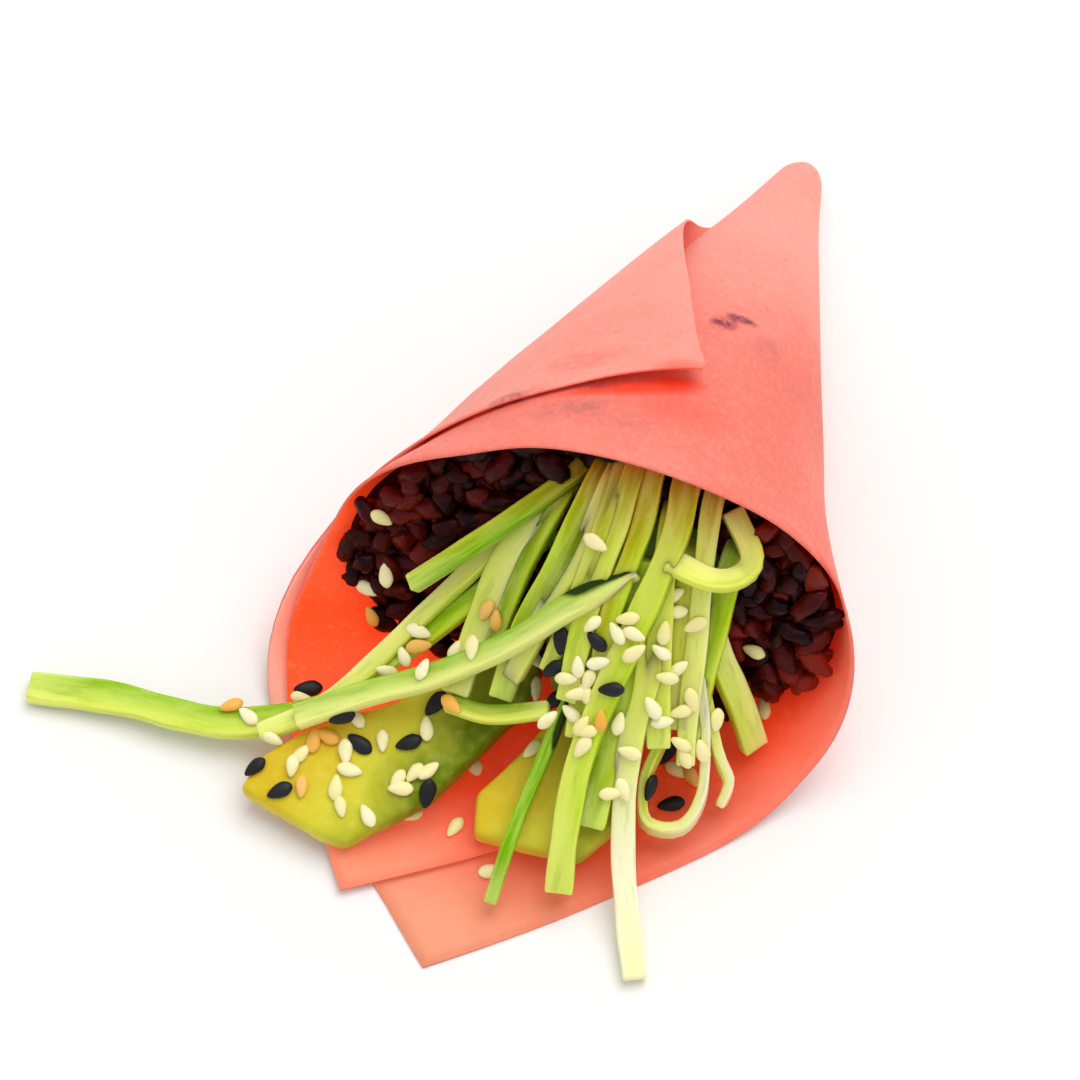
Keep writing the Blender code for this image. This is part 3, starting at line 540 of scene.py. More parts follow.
def ripple(turn, along):
    """Small waves of the sheet, the same in each layer and none on the floor."""
    angle = math.radians(turn)
    around = Vector((math.cos(angle) * RIPPLE_ROUND, math.sin(angle) * RIPPLE_ROUND,
                     along / RIPPLE_LENGTH))
    free = (1.0 + math.cos(angle)) / 2.0
    return RIPPLE * noise.noise(around) * smooth_step(0.05, 0.5, free)


def finish_mesh(name, work, *materials):
    """Turn a bmesh in metres into a smooth object with its materials."""
    mesh = bpy.data.meshes.new(name)
    work.to_mesh(mesh)
    work.free()
    return add_object(name, mesh, *materials)


def add_object(name, mesh, *materials):
    """Link a mesh as a smooth object in the scene, with its materials."""
    mesh.shade_smooth()
    thing = bpy.data.objects.new(name, mesh)
    bpy.context.scene.collection.objects.link(thing)
    for material in materials:
        mesh.materials.append(material)
    return thing


def new_material(name):
    """A material with its tree and its shader."""
    material = bpy.data.materials.new(name)
    material.use_nodes = True
    return material, material.node_tree, material.node_tree.nodes["Principled BSDF"]


def add_node(tree, kind, inputs=None, **settings):
    """Add a node, set its options, and set or link its inputs."""
    made = tree.nodes.new(kind)
    for key, value in settings.items():
        setattr(made, key, value)
    for key, value in (inputs or {}).items():
        connect(tree, made.inputs[key], value)
    return made


def connect(tree, socket, value):
    """Link an output to a socket, or set the socket's own value."""
    if isinstance(value, bpy.types.NodeSocket):
        tree.links.new(value, socket)
    elif hasattr(value, "__len__") and len(value) == 3 and socket.type == "RGBA":
        socket.default_value = (*value, 1.0)
    else:
        socket.default_value = value


def object_place(tree, scale=(1.0, 1.0, 1.0), move=(0.0, 0.0, 0.0)):
    """Object coordinates, scaled and moved."""
    place = add_node(tree, "ShaderNodeTexCoord").outputs["Object"]
    mapped = add_node(tree, "ShaderNodeMapping", {"Vector": place, "Location": move,
                                                  "Scale": scale})
    return mapped.outputs["Vector"]


def grain_noise(tree, vector, scale, detail=3.0, rough=0.55):
    """Noise from 0 to 1."""
    made = add_node(tree, "ShaderNodeTexNoise", {"Vector": vector, "Scale": scale,
                                                 "Detail": detail, "Roughness": rough})
    return made.outputs["Fac"]


def remap(tree, value, low, high, new_low=0.0, new_high=1.0):
    """Stretch the values between low and high, clamped."""
    made = add_node(tree, "ShaderNodeMapRange", {"Value": value, "From Min": low, "From Max": high,
                                                 "To Min": new_low, "To Max": new_high})
    return made.outputs["Result"]


def blend(tree, share, low, high):
    """Mix two colours."""
    made = add_node(tree, "ShaderNodeMix", data_type="RGBA")
    for socket, value in (("Factor", share), (6, low), (7, high)):
        connect(tree, made.inputs[socket], value)
    return made.outputs[2]


def combine(tree, kind, first, second):
    """A sum, product or other operation on two values."""
    return add_node(tree, "ShaderNodeMath", {0: first, 1: second}, operation=kind).outputs[0]


def vector_math(tree, kind, first, second=(0.0, 0.0, 0.0), output="Vector"):
    """An operation on two vectors, or on one."""
    made = add_node(tree, "ShaderNodeVectorMath", {0: first, 1: second}, operation=kind)
    return made.outputs[output]


def bump(tree, shader, height, strength, distance):
    """Give the shader a fine relief."""
    made = add_node(tree, "ShaderNodeBump", {"Height": height, "Strength": strength,
                                             "Distance": distance})
    tree.links.new(made.outputs["Normal"], shader.inputs["Normal"])


def attribute(tree, name, output="Fac"):
    """A value kept in the piece's mesh."""
    return add_node(tree, "ShaderNodeAttribute", attribute_name=name).outputs[output]


def set_surface(tree, shader, colour, roughness, specular=None, tinted=None):
    """Link the colour and set how the surface shines."""
    tree.links.new(colour, shader.inputs["Base Color"])
    shader.inputs["Roughness"].default_value = roughness
    if specular is not None:
        shader.inputs["Specular IOR Level"].default_value = specular
    if tinted is not None:
        shader.inputs["Specular Tint"].default_value = (*tinted, 1.0)


def translucent(shader, weight, radius, scale):
    """Let light spread under the surface."""
    shader.inputs["Subsurface Weight"].default_value = weight
    shader.inputs["Subsurface Radius"].default_value = radius
    shader.inputs["Subsurface Scale"].default_value = scale


def spot(tree, place, size, turn):
    """A soft spot: 1 in its middle part and 0 at its edge, as an ellipse in the frame."""
    offset = vector_math(tree, "SUBTRACT", object_place(tree), place)
    turned = add_node(tree, "ShaderNodeVectorRotate", {"Vector": offset, "Angle": turn},
                      rotation_type="Z_AXIS").outputs[0]
    scaled = vector_math(tree, "DIVIDE", turned, size)
    return remap(tree, vector_math(tree, "LENGTH", scaled, output="Value"), 1.0, 0.3)


def paper_relief(tree, shader):
    """The dry, slightly fibrous face of soy paper."""
    fine = grain_noise(tree, object_place(tree), 2600.0, 4.0, 0.65)
    broad = grain_noise(tree, object_place(tree), 420.0, 3.0)
    bump(tree, shader, combine(tree, "ADD", fine, broad), 0.14, 0.00010)


def paper_outside(settings, stains_and_painted_light):
    """Salmon outer face with soft clouds, pale fibres, dark flecks and purple smears, with painted
    light glowing where light comes through and painted shade below the flap's edge.
    """
    material, tree, shader = new_material("soy_paper_outside")
    clouds = remap(tree, grain_noise(tree, object_place(tree), 55.0, 4.0), 0.35, 0.65)
    colour = blend(tree, combine(tree, "MULTIPLY", clouds, 0.3), settings.outside,
                   settings.outside_pale)
    drift = remap(tree, clouds, 0, 1, -0.12, 0.12)
    paleness = combine(tree, "ADD", attribute(tree, "pale"), drift)
    colour = blend(tree, paleness, colour, settings.outside_pale)
    fibres = grain_noise(tree, object_place(tree, (1.0, 0.35, 1.0)), 1500.0, 3.0, 0.7)
    colour = blend(tree, remap(tree, fibres, 0.45, 0.80, 0.0, 0.24), colour, screen(255, 188, 168))
    flecks = grain_noise(tree, object_place(tree, (1.0, 1.0, 1.0), (0.3, 0.1, 0.2)), 900.0, 2.0)
    colour = blend(tree, remap(tree, flecks, 0.66, 0.76, 0.0, 0.38), colour, screen(206, 84, 76))
    broken = grain_noise(tree, object_place(tree), 620.0, 5.0, 0.75)
    # painted light and shade: the glow marks are painted light, and the darker marks below the
    # flap are painted shade
    for place, size, turn, strength, kind in stains_and_painted_light:
        mark_share = strength if kind == "glow" else remap(tree, broken, 0.32, 0.62, 0.0, strength)
        share = combine(tree, "MULTIPLY", spot(tree, place, size, turn), mark_share)
        colour = blend(tree, share, colour, getattr(settings, kind))
    set_surface(tree, shader, colour, 0.60, 0.30)
    translucent(shader, 0.5, (1.0, 0.25, 0.14), 0.0009)
    paper_relief(tree, shader)
    return material


def paper_inside(settings):
    """Red-orange inner face with pale specks, paler over the tongue, paler at the rim with painted
    light, and glowing with painted light where light comes through.
    """
    material, tree, shader = new_material("soy_paper_inside")
    flat = attribute(tree, "flat")
    clouds = grain_noise(tree, object_place(tree), 90.0, 4.0)
    share = combine(tree, "ADD", flat, remap(tree, clouds, 0.3, 0.7, -0.12, 0.12))
    colour = blend(tree, remap(tree, share, 0.0, 1.0), settings.inside, settings.inside_edge)
    uneven = remap(tree, clouds, 0.2, 0.6, 0.7, 1.0)
    # painted light: paler along the rim and the flap's edges
    rim_light_share = combine(tree, "MULTIPLY", attribute(tree, "rim"), uneven)
    colour = blend(tree, rim_light_share, colour, settings.rim)
    specks = grain_noise(tree, object_place(tree), 1100.0, 3.0, 0.7)
    colour = blend(tree, remap(tree, specks, 0.56, 0.84, 0.0, 0.26), colour, screen(255, 168, 132))
    set_surface(tree, shader, colour, 0.50, 0.25)
    # painted light: the inner face glows with its own colour where light comes through, by the lit
    # share
    tree.links.new(colour, shader.inputs["Emission Color"])
    strength = combine(tree, "MULTIPLY", attribute(tree, "lit"), settings.shine_through)
    tree.links.new(strength, shader.inputs["Emission Strength"])
    translucent(shader, 0.85, (1.0, 0.25, 0.14), 0.0010)
    paper_relief(tree, shader)
    return material


def sheet_turns():
    """The turning angles of the sheet's columns, with its corners among them."""
    turns = [float(PAPER_MARKS[0])]
    for start, end in zip(PAPER_MARKS, PAPER_MARKS[1:]):
        count = max(1, round((end - start) / PAPER_TURN_STEP))
        turns += [start + (end - start) * k / count for k in range(1, count + 1)]
    return turns


def turn_window(turn, start, full, fading, end):
    """1 between two turns, and fading to 0 on both sides."""
    return smooth_step(start, full, turn) * (1.0 - smooth_step(fading, end, turn))


def rim_painted_light(turn, to_mouth, to_point):
    """How much painted light pales the inner face: 1 at the left rim and at the flap's edges."""
    at_left = turn_window(turn, *RIM_TURNS) * (1.0 - smooth_step(*RIM_BAND, to_mouth))
    at_right = RIGHT_RIM_PALE * turn_window(turn, *RIGHT_RIM_TURNS)
    at_right *= 1.0 - smooth_step(0.0, RIGHT_RIM_BAND, to_mouth)
    at_flap = 1.0 - smooth_step(*RIM_TURNS[:2], turn)
    at_flap *= 1.0 - smooth_step(0.0, FLAP_BAND, min(to_mouth, to_point))
    at_back = 1.0 - smooth_step(*FLAP_BACK_TURNS, turn)
    at_back *= 1.0 - smooth_step(0.0, FLAP_BAND, to_point)
    return max(at_left, at_right, at_flap, at_back)


def light_through(turn, flatness):
    """How much light comes through to the inner face: most at the left wall."""
    return max(turn_window(turn, *LIT_TURNS) * (1.0 - LIT_LOSS * flatness), LIT_TONGUE)


def rolled_sheet(settings, materials):
    """Roll a flat grid into the cone and give it its thickness."""
    turns = sheet_turns()
    columns = len(turns) - 1
    work = bmesh.new()
    flat, rim_light_layer, pale, lit = (work.verts.layers.float.new(name)
                                 for name in ("flat", "rim", "pale", "lit"))
    bmesh.ops.create_grid(work, x_segments=columns, y_segments=PAPER_ROWS, size=0.5)
    for vert in work.verts:
        turn = turns[round((vert.co.x + 0.5) * columns)]
        row = vert.co.y + 0.5
        share = row + (row * row - row) * ROW_CROWDING
        top, bottom = curve_value(POINT_EDGE, turn), rim(turn)
        along = top + (bottom - top) * share
        point = cone_point(turn, along, layer_offset(turn, along) + ripple(turn, along))
        lies_low = 1.0 - smooth_step(*TONGUE_HEIGHT, point.z)
        vert[flat] = smooth_step(*TONGUE_REACH, along) * lies_low
        # painted light: how much paler the inner face is near the rim and the flap's edges
        vert[rim_light_layer] = rim_painted_light(turn, bottom - along, along - top)
        vert[lit] = light_through(turn, vert[flat]) * smooth_step(*LIT_REACH, along)
        on_flap = PALE_FLAP * (1.0 - smooth_step(*PALE_TURNS, turn))
        vert[pale] = max(1.0 - smooth_step(*PALE_REACH, along), on_flap)
        vert.co = in_frame(point)
    bmesh.ops.recalc_face_normals(work, faces=work.faces)
    middle = in_frame(CONE_MIDDLE)
    top_face = max(work.faces, key=lambda face: face.calc_center_median().z)
    if top_face.normal.dot(top_face.calc_center_median() - middle) < 0:
        bmesh.ops.reverse_faces(work, faces=work.faces)
    sheet = finish_mesh("paper_sheet", work, *materials)
    wall = sheet.modifiers.new("thickness", "SOLIDIFY")
    wall.thickness = settings.thickness
    wall.offset = 0.0
    wall.use_even_offset = True
    wall.material_offset = 1
    return sheet


def extrude_ring(work, ring, points):
    """Extrude a closed ring of edges to new places, and return the new ring."""
    grown = bmesh.ops.extrude_edge_only(work, edges=ring)["geom"]
    fresh = [item for item in grown if isinstance(item, bmesh.types.BMVert)]
    edges = [item for item in grown if isinstance(item, bmesh.types.BMEdge)
             and all(vert in fresh for vert in item.verts)]
    order = work.verts.layers.int["order"]
    for vert in fresh:
        vert.co = points[vert[order]]
    return edges


def loft(work, rings):
    """A closed body through rings of points, with flat ends."""
    order = work.verts.layers.int.get("order") or work.verts.layers.int.new("order")
    first = bmesh.ops.create_circle(work, segments=len(rings[0]), radius=1.0)["verts"]
    for index, vert in enumerate(first):
        vert[order] = index
        vert.co = rings[0][index]
    start = list({edge for vert in first for edge in vert.link_edges})
    ring = start
    for points in rings[1:]:
        ring = extrude_ring(work, ring, points)
    for edges in (start, ring):
        bmesh.ops.contextual_create(work, geom=edges)
    bmesh.ops.recalc_face_normals(work, faces=work.faces)


def paper_tip(material):
    """The tightly rolled tip of the cone, rounded at its end."""
    rings = []
    for along, offset, share in POINT_SECTIONS:
        ring = []
        for k in range(POINT_SIDES):
            point = cone_point((k + POINT_SKEW) * 360.0 / POINT_SIDES, along, offset)
            middle = Vector((POINT_X, point.y, HEIGHT_SLOPE * along / 2 + FLOOR_GAP))
            ring.append(in_frame(middle + (point - middle) * share))
        rings.append(ring)
    work = bmesh.new()
    loft(work, rings)
    return finish_mesh("paper_tip", work, material)


def camera_axes():
    """The camera's place and its right, up and forward directions."""
    around, above = math.radians(VIEW_AZIMUTH), math.radians(VIEW_ELEVATION)
    back = Vector((math.sin(around) * math.cos(above), -math.cos(around) * math.cos(above),
                   math.sin(above)))
    place = in_frame((0.0, 0.0, VIEW_HEIGHT)) + back * VIEW_DISTANCE * MM
    right = Vector((math.cos(around), math.sin(around), 0.0))
    return place, right, back.cross(right), -back


def seen_at(pixel, trees):
    """The nearest place and normal that shows at a pixel, over some search trees."""
    place, right, up, forward = camera_axes()
    focal = PIXELS_PER_MM * VIEW_DISTANCE
    aim = (forward + right * (pixel[0] - IMAGE_SIDE / 2) / focal
           - up * (pixel[1] - IMAGE_SIDE / 2) / focal).normalized()
    found = [tree.ray_cast(place, aim)[:2] for tree in trees]
    found = [hit for hit in found if hit[0] is not None]
    return min(found, key=lambda hit: (hit[0] - place).length) if found else (None, None)


def tree_of(thing):
    """A search tree over an object's finished surface."""
    return BVHTree.FromObject(thing, bpy.context.evaluated_depsgraph_get())


def ride_and_slot(thing, slot, *nodes):
    """Fix a piece to the roll and hide the nodes that it stands for; its slot is not used."""
    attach(thing, "root")
    if nodes:
        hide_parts(*nodes)


class HANDROLL_OT_paper(bpy.types.Operator):
    """Roll the sheet of soy paper into its cone"""
    bl_idname = "hand_roll.paper"
    bl_label = "Soy paper"

    def execute(self, context):
        settings = context.scene.hand_roll_paper
        inside = paper_inside(settings)
        draft = rolled_sheet(settings, [inside, inside])
        trees = [tree_of(draft)]
        stains_and_painted_light = []
        # the marks hold painted light and painted shade as well as the purple smears
        for pixel, size, turn, strength, kind in PAPER_MARKINGS:
            place = seen_at(pixel, trees)[0]
            if place is None:
                raise RuntimeError(f"no paper shows at {pixel}")
            stains_and_painted_light.append((place, size, math.radians(turn), strength, kind))
        outside = paper_outside(settings, stains_and_painted_light)
        draft.data.materials.clear()
        draft.data.materials.append(outside)
        draft.data.materials.append(inside)
        ride_and_slot(draft, "soy_paper", "wrapper")
        ride_and_slot(paper_tip(outside), "soy_paper")
        return {"FINISHED"}


def rice_material(settings, name):
    """Moist dark grains, each in its own tone, the upper ones darkened as painted shade."""
    material, tree, shader = new_material(name)
    tone = attribute(tree, "tone")
    patches = grain_noise(tree, object_place(tree), 700.0, 3.0)
    share = combine(tree, "ADD", combine(tree, "POWER", tone, 2.2),
                    remap(tree, patches, 0.4, 0.8, -0.05, 0.25))
    colour = blend(tree, remap(tree, share, 0.0, 1.1), settings.dark, settings.red)
    set_surface(tree, shader, colour, 0.36, 0.14, (1.0, 0.60, 0.72))
    shader.inputs["Coat Weight"].default_value = 0.05
    shader.inputs["Coat Roughness"].default_value = 0.12
    translucent(shader, 0.08, (1.0, 0.2, 0.15), 0.0008)
    bump(tree, shader, grain_noise(tree, object_place(tree), 900.0, 4.0), 0.55, 0.00045)
    return material


def rice_core(material):
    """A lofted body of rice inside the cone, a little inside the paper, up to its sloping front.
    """
    rings = []
    for row in range(RICE_SECTIONS):
        along = RICE_START + (RICE_END - RICE_START) * row / (RICE_SECTIONS - 1)
        rings.append([in_frame(cone_point(k * 360.0 / RICE_SIDES, along, -RICE_INSET))
                      for k in range(RICE_SIDES)])
    work = bmesh.new()
    loft(work, rings)
    everything = list(work.verts) + list(work.edges) + list(work.faces)
    cut = bmesh.ops.bisect_plane(work, geom=everything, clear_inner=True,
                                 plane_co=in_frame((0, RICE_FRONT_Y + CORE_BACK, 0)),
                                 plane_no=Vector((-RICE_FRONT_PER_X, 1.0, -RICE_FRONT_PER_Z)))
    rim_edges = [item for item in cut["geom_cut"] if isinstance(item, bmesh.types.BMEdge)]
    bmesh.ops.contextual_create(work, geom=rim_edges)
    bmesh.ops.recalc_face_normals(work, faces=work.faces)
    bmesh.ops.triangulate(work, faces=work.faces)
    return finish_mesh("rice_core", work, material)


def oval_template(sides, rings, shape):
    """Points and faces of a ball of one unit, reshaped by a function of its points."""
    work = bmesh.new()
    bmesh.ops.create_uvsphere(work, u_segments=sides, v_segments=rings, radius=0.5)
    bmesh.ops.rotate(work, verts=work.verts, matrix=Matrix.Rotation(math.pi / 2, 3, "Y"))
    for vert in work.verts:
        vert.co = shape(vert.co.copy())
    bmesh.ops.recalc_face_normals(work, faces=work.faces)
    points = np.array([vert.co[:] for vert in work.verts])
    faces = [[vert.index for vert in face.verts] for face in work.faces]
    work.free()
    return points, faces


def joined_copies(name, copies, *materials):
    """One mesh of many copies: each has a template, a matrix and a tone."""
    points, faces, tones = [], [], []
    start = 0
    for (template, sides), matrix, tone in copies:
        turned = template @ np.array(matrix.to_3x3()).T + np.array(matrix.translation)
        points.append(turned)
        faces += [[start + k for k in side] for side in sides]
        tones += [tone] * len(template)
        start += len(template)
    mesh = bpy.data.meshes.new(name)
    mesh.from_pydata(np.concatenate(points).tolist(), [], faces)
    mesh.attributes.new("tone", "FLOAT", "POINT").data.foreach_set("value", tones)
    return add_object(name, mesh, *materials)


def lie_on(place, normal, heading, size):
    """A matrix that lays a body of one unit on a surface, pointing along heading."""
    normal = normal.normalized()
    forward = (heading - heading.dot(normal) * normal).normalized()
    turned = Matrix((forward, normal.cross(forward), normal)).transposed().to_4x4()
    return Matrix.Translation(place) @ turned @ Matrix.Diagonal((*size, 1.0))


def grain_shape(bend, pinch, seed):
    """A cooked grain: blunt ends, a slight bend and an uneven skin."""
    def shape(point):
        taper = 1.0 - pinch * (2.0 * abs(point.x)) ** 3
        bumps = 1.0 + 0.55 * noise.noise(point * 2.6 + Vector((seed, 0, 0)))
        return Vector((point.x * (0.6 + 0.4 * bumps),
                       (point.y * taper + bend * (0.25 - point.x ** 2)) * bumps,
                       point.z * taper * bumps))
    return shape


def rice_grains(settings, core, material, rng):
    """Grains all over the rice's front, some of them standing further out, and none in a strip."""
    tree = tree_of(core)
    sheet = tree_of(bpy.data.objects["paper_sheet"])
    shapes = [oval_template(12, 9, grain_shape(0.2 * (k % 4) - 0.3, 0.04 * (k % 3), 3.7 * k))
              for k in range(GRAIN_SHAPES)]
    strips = [in_frame(point) for *_, knots in STRIPS
              for point in spline_points(knots, STRIP_ROOM / 2)]
    copies, placed = [], []
    for index in range(settings.grains):
        x, z = rng.uniform(*GRAIN_SPAN_X), rng.uniform(*GRAIN_SPAN_Z)
        hit, normal, _, _ = tree.ray_cast(in_frame((x, GRAIN_START_Y, z)), Vector((0, 1, 0)))
        if hit is None:
            continue
        is_lower = index < settings.grains * LOWER_SHARE
        place = hit + normal * rng.uniform(*(LOWER_LIFT if is_lower else UPPER_LIFT)) * MM
        if any((place - other).length < GRAIN_ROOM * MM for other in placed):
            continue
        _, wall, _, near = sheet.find_nearest(place)
        if near < PAPER_ROOM * MM:
            continue
        heading = Vector((rng.uniform(-1, 1), rng.uniform(-0.6, 0.6), rng.uniform(-1, 1)))
        if near < settings.grain_length / 2:
            heading = heading - heading.dot(wall) * wall
        tilt = (normal + Vector([rng.uniform(-0.5, 0.5) for _ in range(3)])).normalized()
        grow = rng.uniform(0.75, 1.15)
        size = (settings.grain_length * grow, settings.grain_width * rng.uniform(0.9, 1.1),
                settings.grain_width * rng.uniform(0.78, 0.95))
        matrix = lie_on(place, tilt, heading, size)
        tone = rng.random() * (0.78 + 0.42 * smooth_step(*LIGHT_SPAN_X, x))
        # painted shade: grains darker under the paper's lip at the top
        tone *= 1.0 - 0.65 * smooth_step(*LIP_SHADE_SPAN_Z, z)
        shape = rng.choice(shapes)
        placed.append(place)
        if all((place - point).length > STRIP_ROOM * MM for point in strips):
            copies.append((shape, matrix, tone))
    return joined_copies("rice_grains", copies, material)


class HANDROLL_OT_rice(bpy.types.Operator):
    """Fill the cone with dark rice"""
    bl_idname = "hand_roll.rice"
    bl_label = "Dark rice"

    def execute(self, context):
        settings = context.scene.hand_roll_rice
        material = rice_material(settings, "dark_rice")
        core = rice_core(material)
        grains = rice_grains(settings, core, material, random.Random(11))
        ride_and_slot(core, "dark_rice")
        ride_and_slot(grains, "dark_rice", "rice")
        return {"FINISHED"}


def spline_points(points, step):
    """Points of a smooth curve through the given points, about step apart."""
    knots = [Vector(point) for point in points]
    knots = [2 * knots[0] - knots[1]] + knots + [2 * knots[-1] - knots[-2]]
    result = []
    for k in range(1, len(knots) - 2):
        a, b, c, d = knots[k - 1:k + 3]
        steps = max(2, round((c - b).length / step))
        for part in range(steps):
            t = part / steps
            result.append(0.5 * (2 * b + (c - a) * t + (2 * a - 5 * b + 4 * c - d) * t * t
                                 + (3 * b - a - 3 * c + d) * t ** 3))
    result.append(knots[-2])
    return result


def strip_layers(work):
    """The values that a strip's points carry: place in its section, skin and colour."""
    names = ("across", "rise", "skin", "run")
    layers = {name: work.verts.layers.float.new(name) for name in names}
    layers["flesh"] = work.verts.layers.float_color.new("flesh")
    return layers


def cut_strip(work, layers, row, colours, under_paper_shade, rng):
    """Extrude a bar of cucumber along its curve, and colour its points."""
    width, thickness, left, right, points = row
    if points[0][1] > STRIP_MOUTH_Y:
        start = Vector(points[0])
        points = [start + Vector(tail) for tail in reversed(STRIP_TAILS)] + points
    has_skin = "skin" in (left, right)
    path = spline_points(points, STRIP_STEP)
    grid = bmesh.ops.create_grid(work, x_segments=4, y_segments=2, size=0.5)["verts"]
    for vert in grid:
        vert[layers["across"]] = vert.co.x
        vert[layers["rise"]] = vert.co.y
    region = list({face for vert in grid for face in vert.link_faces})
    current, run, shift = grid, 0.0, rng.uniform(0, 50)
    for k, middle in enumerate(path):
        if k:
            grown = bmesh.ops.extrude_face_region(work, geom=region)["geom"]
            if k > 1:
                bmesh.ops.delete(work, geom=region, context="FACES")
            region = [item for item in grown if isinstance(item, bmesh.types.BMFace)]
            current = [item for item in grown if isinstance(item, bmesh.types.BMVert)]
            run += (middle - path[k - 1]).length
        ahead = (path[min(k + 1, len(path) - 1)] - path[max(k - 1, 0)]).normalized()
        side = ahead.cross(Vector((0, 0, 1)))
        side = side.normalized() if side.length > 1e-3 else Vector((1, 0, 0))
        up = side.cross(ahead)
        share = k / (len(path) - 1)
        swell = 1.0 + STRIP_SWELL * noise.noise(Vector((run * 0.20, shift, 0.0)))
        if has_skin:
            swell *= SKIN_TAPER[0] + (1.0 - SKIN_TAPER[0]) * smooth_step(0.0, SKIN_TAPER[1], run)
        for vert in current:
            across, rise = vert[layers["across"]], vert[layers["rise"]]
            hollow = 1.0 - STRIP_HOLLOW * (1.0 - (2 * across) ** 2)
            fibre = STRIP_FIBRE * noise.noise(Vector((across * 6 + shift, run * 0.25, rise * 4)))
            point = (middle + side * across * width * swell
                     + up * (rise * thickness * hollow * min(2.0 - swell, 1.1) + fibre))
            vert.co = in_frame(point)
            base = mix(colours["bright" if left == "skin" else left],
                       colours["bright" if right == "skin" else right], across + 0.5)
            # painted shade: darker and warmer close under the paper
            closeness = smooth_step(*UNDER_PAPER_SPAN_Y, middle.y) * smooth_step(*UNDER_PAPER_SPAN_Z, middle.z)
            base = mix(base, under_paper_shade, UNDER_PAPER_SHARE * closeness)
            base = mix(base, colours["clear"], END_SHARE * smooth_step(*END_REACH, share))
            if "white" in (left, right):
                base = mix(colours["pale"], base, smooth_step(*WHITE_FADE, share))
            vert[layers["flesh"]] = (*base, 1.0)
            vert[layers["run"]] = run + shift
            at_skin = (0.5 - across) if left == "skin" else (across + 0.5)
            dark = 1.0 - 0.5 * smooth_step(*SKIN_FADE, run)
            vert[layers["skin"]] = (at_skin + 0.35 * dark) * dark if has_skin else 0.0


def round_edges(work, offset):
    """Round the sharp edges of every strip."""
    sharp = [edge for edge in work.edges
             if edge.is_manifold and edge.calc_face_angle(0.0) > SHARP_ANGLE]
    bmesh.ops.bevel(work, geom=sharp, offset=offset, segments=2, profile=0.5,
                    affect="EDGES", material=-1)


def cucumber_material(settings):
    """Wet, slightly glassy flesh with fibres along each strip and dark skin on some."""
    material, tree, shader = new_material("cucumber_flesh")
    flesh = attribute(tree, "flesh", "Color")
    across, rise, run = (attribute(tree, name) for name in ("across", "rise", "run"))
    place = add_node(tree, "ShaderNodeCombineXYZ", {"X": combine(tree, "MULTIPLY", across, 3.2),
                                                    "Y": combine(tree, "MULTIPLY", rise, 3.5),
                                                    "Z": combine(tree, "MULTIPLY", run, 0.16)})
    streaks = grain_noise(tree, place.outputs[0], 1.0, 3.0, 0.6)
    colour = blend(tree, remap(tree, streaks, 0.42, 0.72, 0.0, 0.34), flesh, settings.clear)
    colour = blend(tree, remap(tree, streaks, 0.46, 0.26, 0.0, 0.30), colour, settings.green)
    cells = grain_noise(tree, object_place(tree), 900.0, 3.0)
    colour = blend(tree, remap(tree, cells, 0.55, 0.8, 0.0, 0.18), colour, screen(220, 228, 96))
    ragged = remap(tree, streaks, 0.3, 0.7, -0.05, 0.05)
    edge = combine(tree, "ADD", attribute(tree, "skin"), ragged)
    colour = blend(tree, remap(tree, edge, 0.78, 0.98), colour, settings.skin)
    set_surface(tree, shader, colour, 0.30, 0.35, (1.0, 1.0, 0.25))
    translucent(shader, 0.70, (0.85, 1.0, 0.65), 0.0019)
    bump(tree, shader, combine(tree, "ADD", streaks, cells), 0.16, 0.00010)
    return material


def cucumber_colours(settings):
    """The strips' colours by name."""
    names = ("pale", "clear", "lime", "yellow", "green", "bright", "skin", "white")
    return {name: tuple(getattr(settings, name)) for name in names}


def bundle_core(material, colour):
    """The hidden heart of the bundle, which the strips lie on, a dark green that stands for
    painted shade in the gaps between them.
    """
    rings = []
    for y, left, right, bottom, top in BUNDLE_CORE:
        ring = []
        for k in range(CORE_SIDES):
            angle = 2 * math.pi * k / CORE_SIDES
            ring.append(in_frame(((left + right) / 2 + math.cos(angle) * (right - left) / 2, y,
                                  (bottom + top) / 2 + math.sin(angle) * (top - bottom) / 2)))
        rings.append(ring)
    work = bmesh.new()
    loft(work, rings)
    flesh = work.verts.layers.float_color.new("flesh")
    for vert in work.verts:
        vert[flesh] = (*colour, 1.0)
    return finish_mesh("cucumber_core", work, material)


class HANDROLL_OT_cucumber(bpy.types.Operator):
    """Cut the cucumber strips and lay them in a bundle"""
    bl_idname = "hand_roll.cucumber"
    bl_label = "Cucumber strips"

    def execute(self, context):
        settings = context.scene.hand_roll_cucumber
        colours = cucumber_colours(settings)
        material = cucumber_material(settings)
        rng = random.Random(5)
        for name, rows, node in (("cucumber_strips", STRIPS, "cucumber_bundle"),
                                 ("cucumber_long_strip", [LONG_STRIP], "cucumber_strip_left")):
            work = bmesh.new()
            layers = strip_layers(work)
            for row in rows:
                cut_strip(work, layers, row, colours, tuple(settings.under_paper_shade), rng)
            bmesh.ops.recalc_face_normals(work, faces=work.faces)
            round_edges(work, STRIP_BEVEL * MM)
            ride_and_slot(finish_mesh(name, work, material), "cucumber", node)
        # painted shade: the core's dark green shows in the gaps between the strips
        core = bundle_core(material, mix(colours["green"], colours["skin"], 0.35))
        ride_and_slot(core, "cucumber")
        return {"FINISHED"}


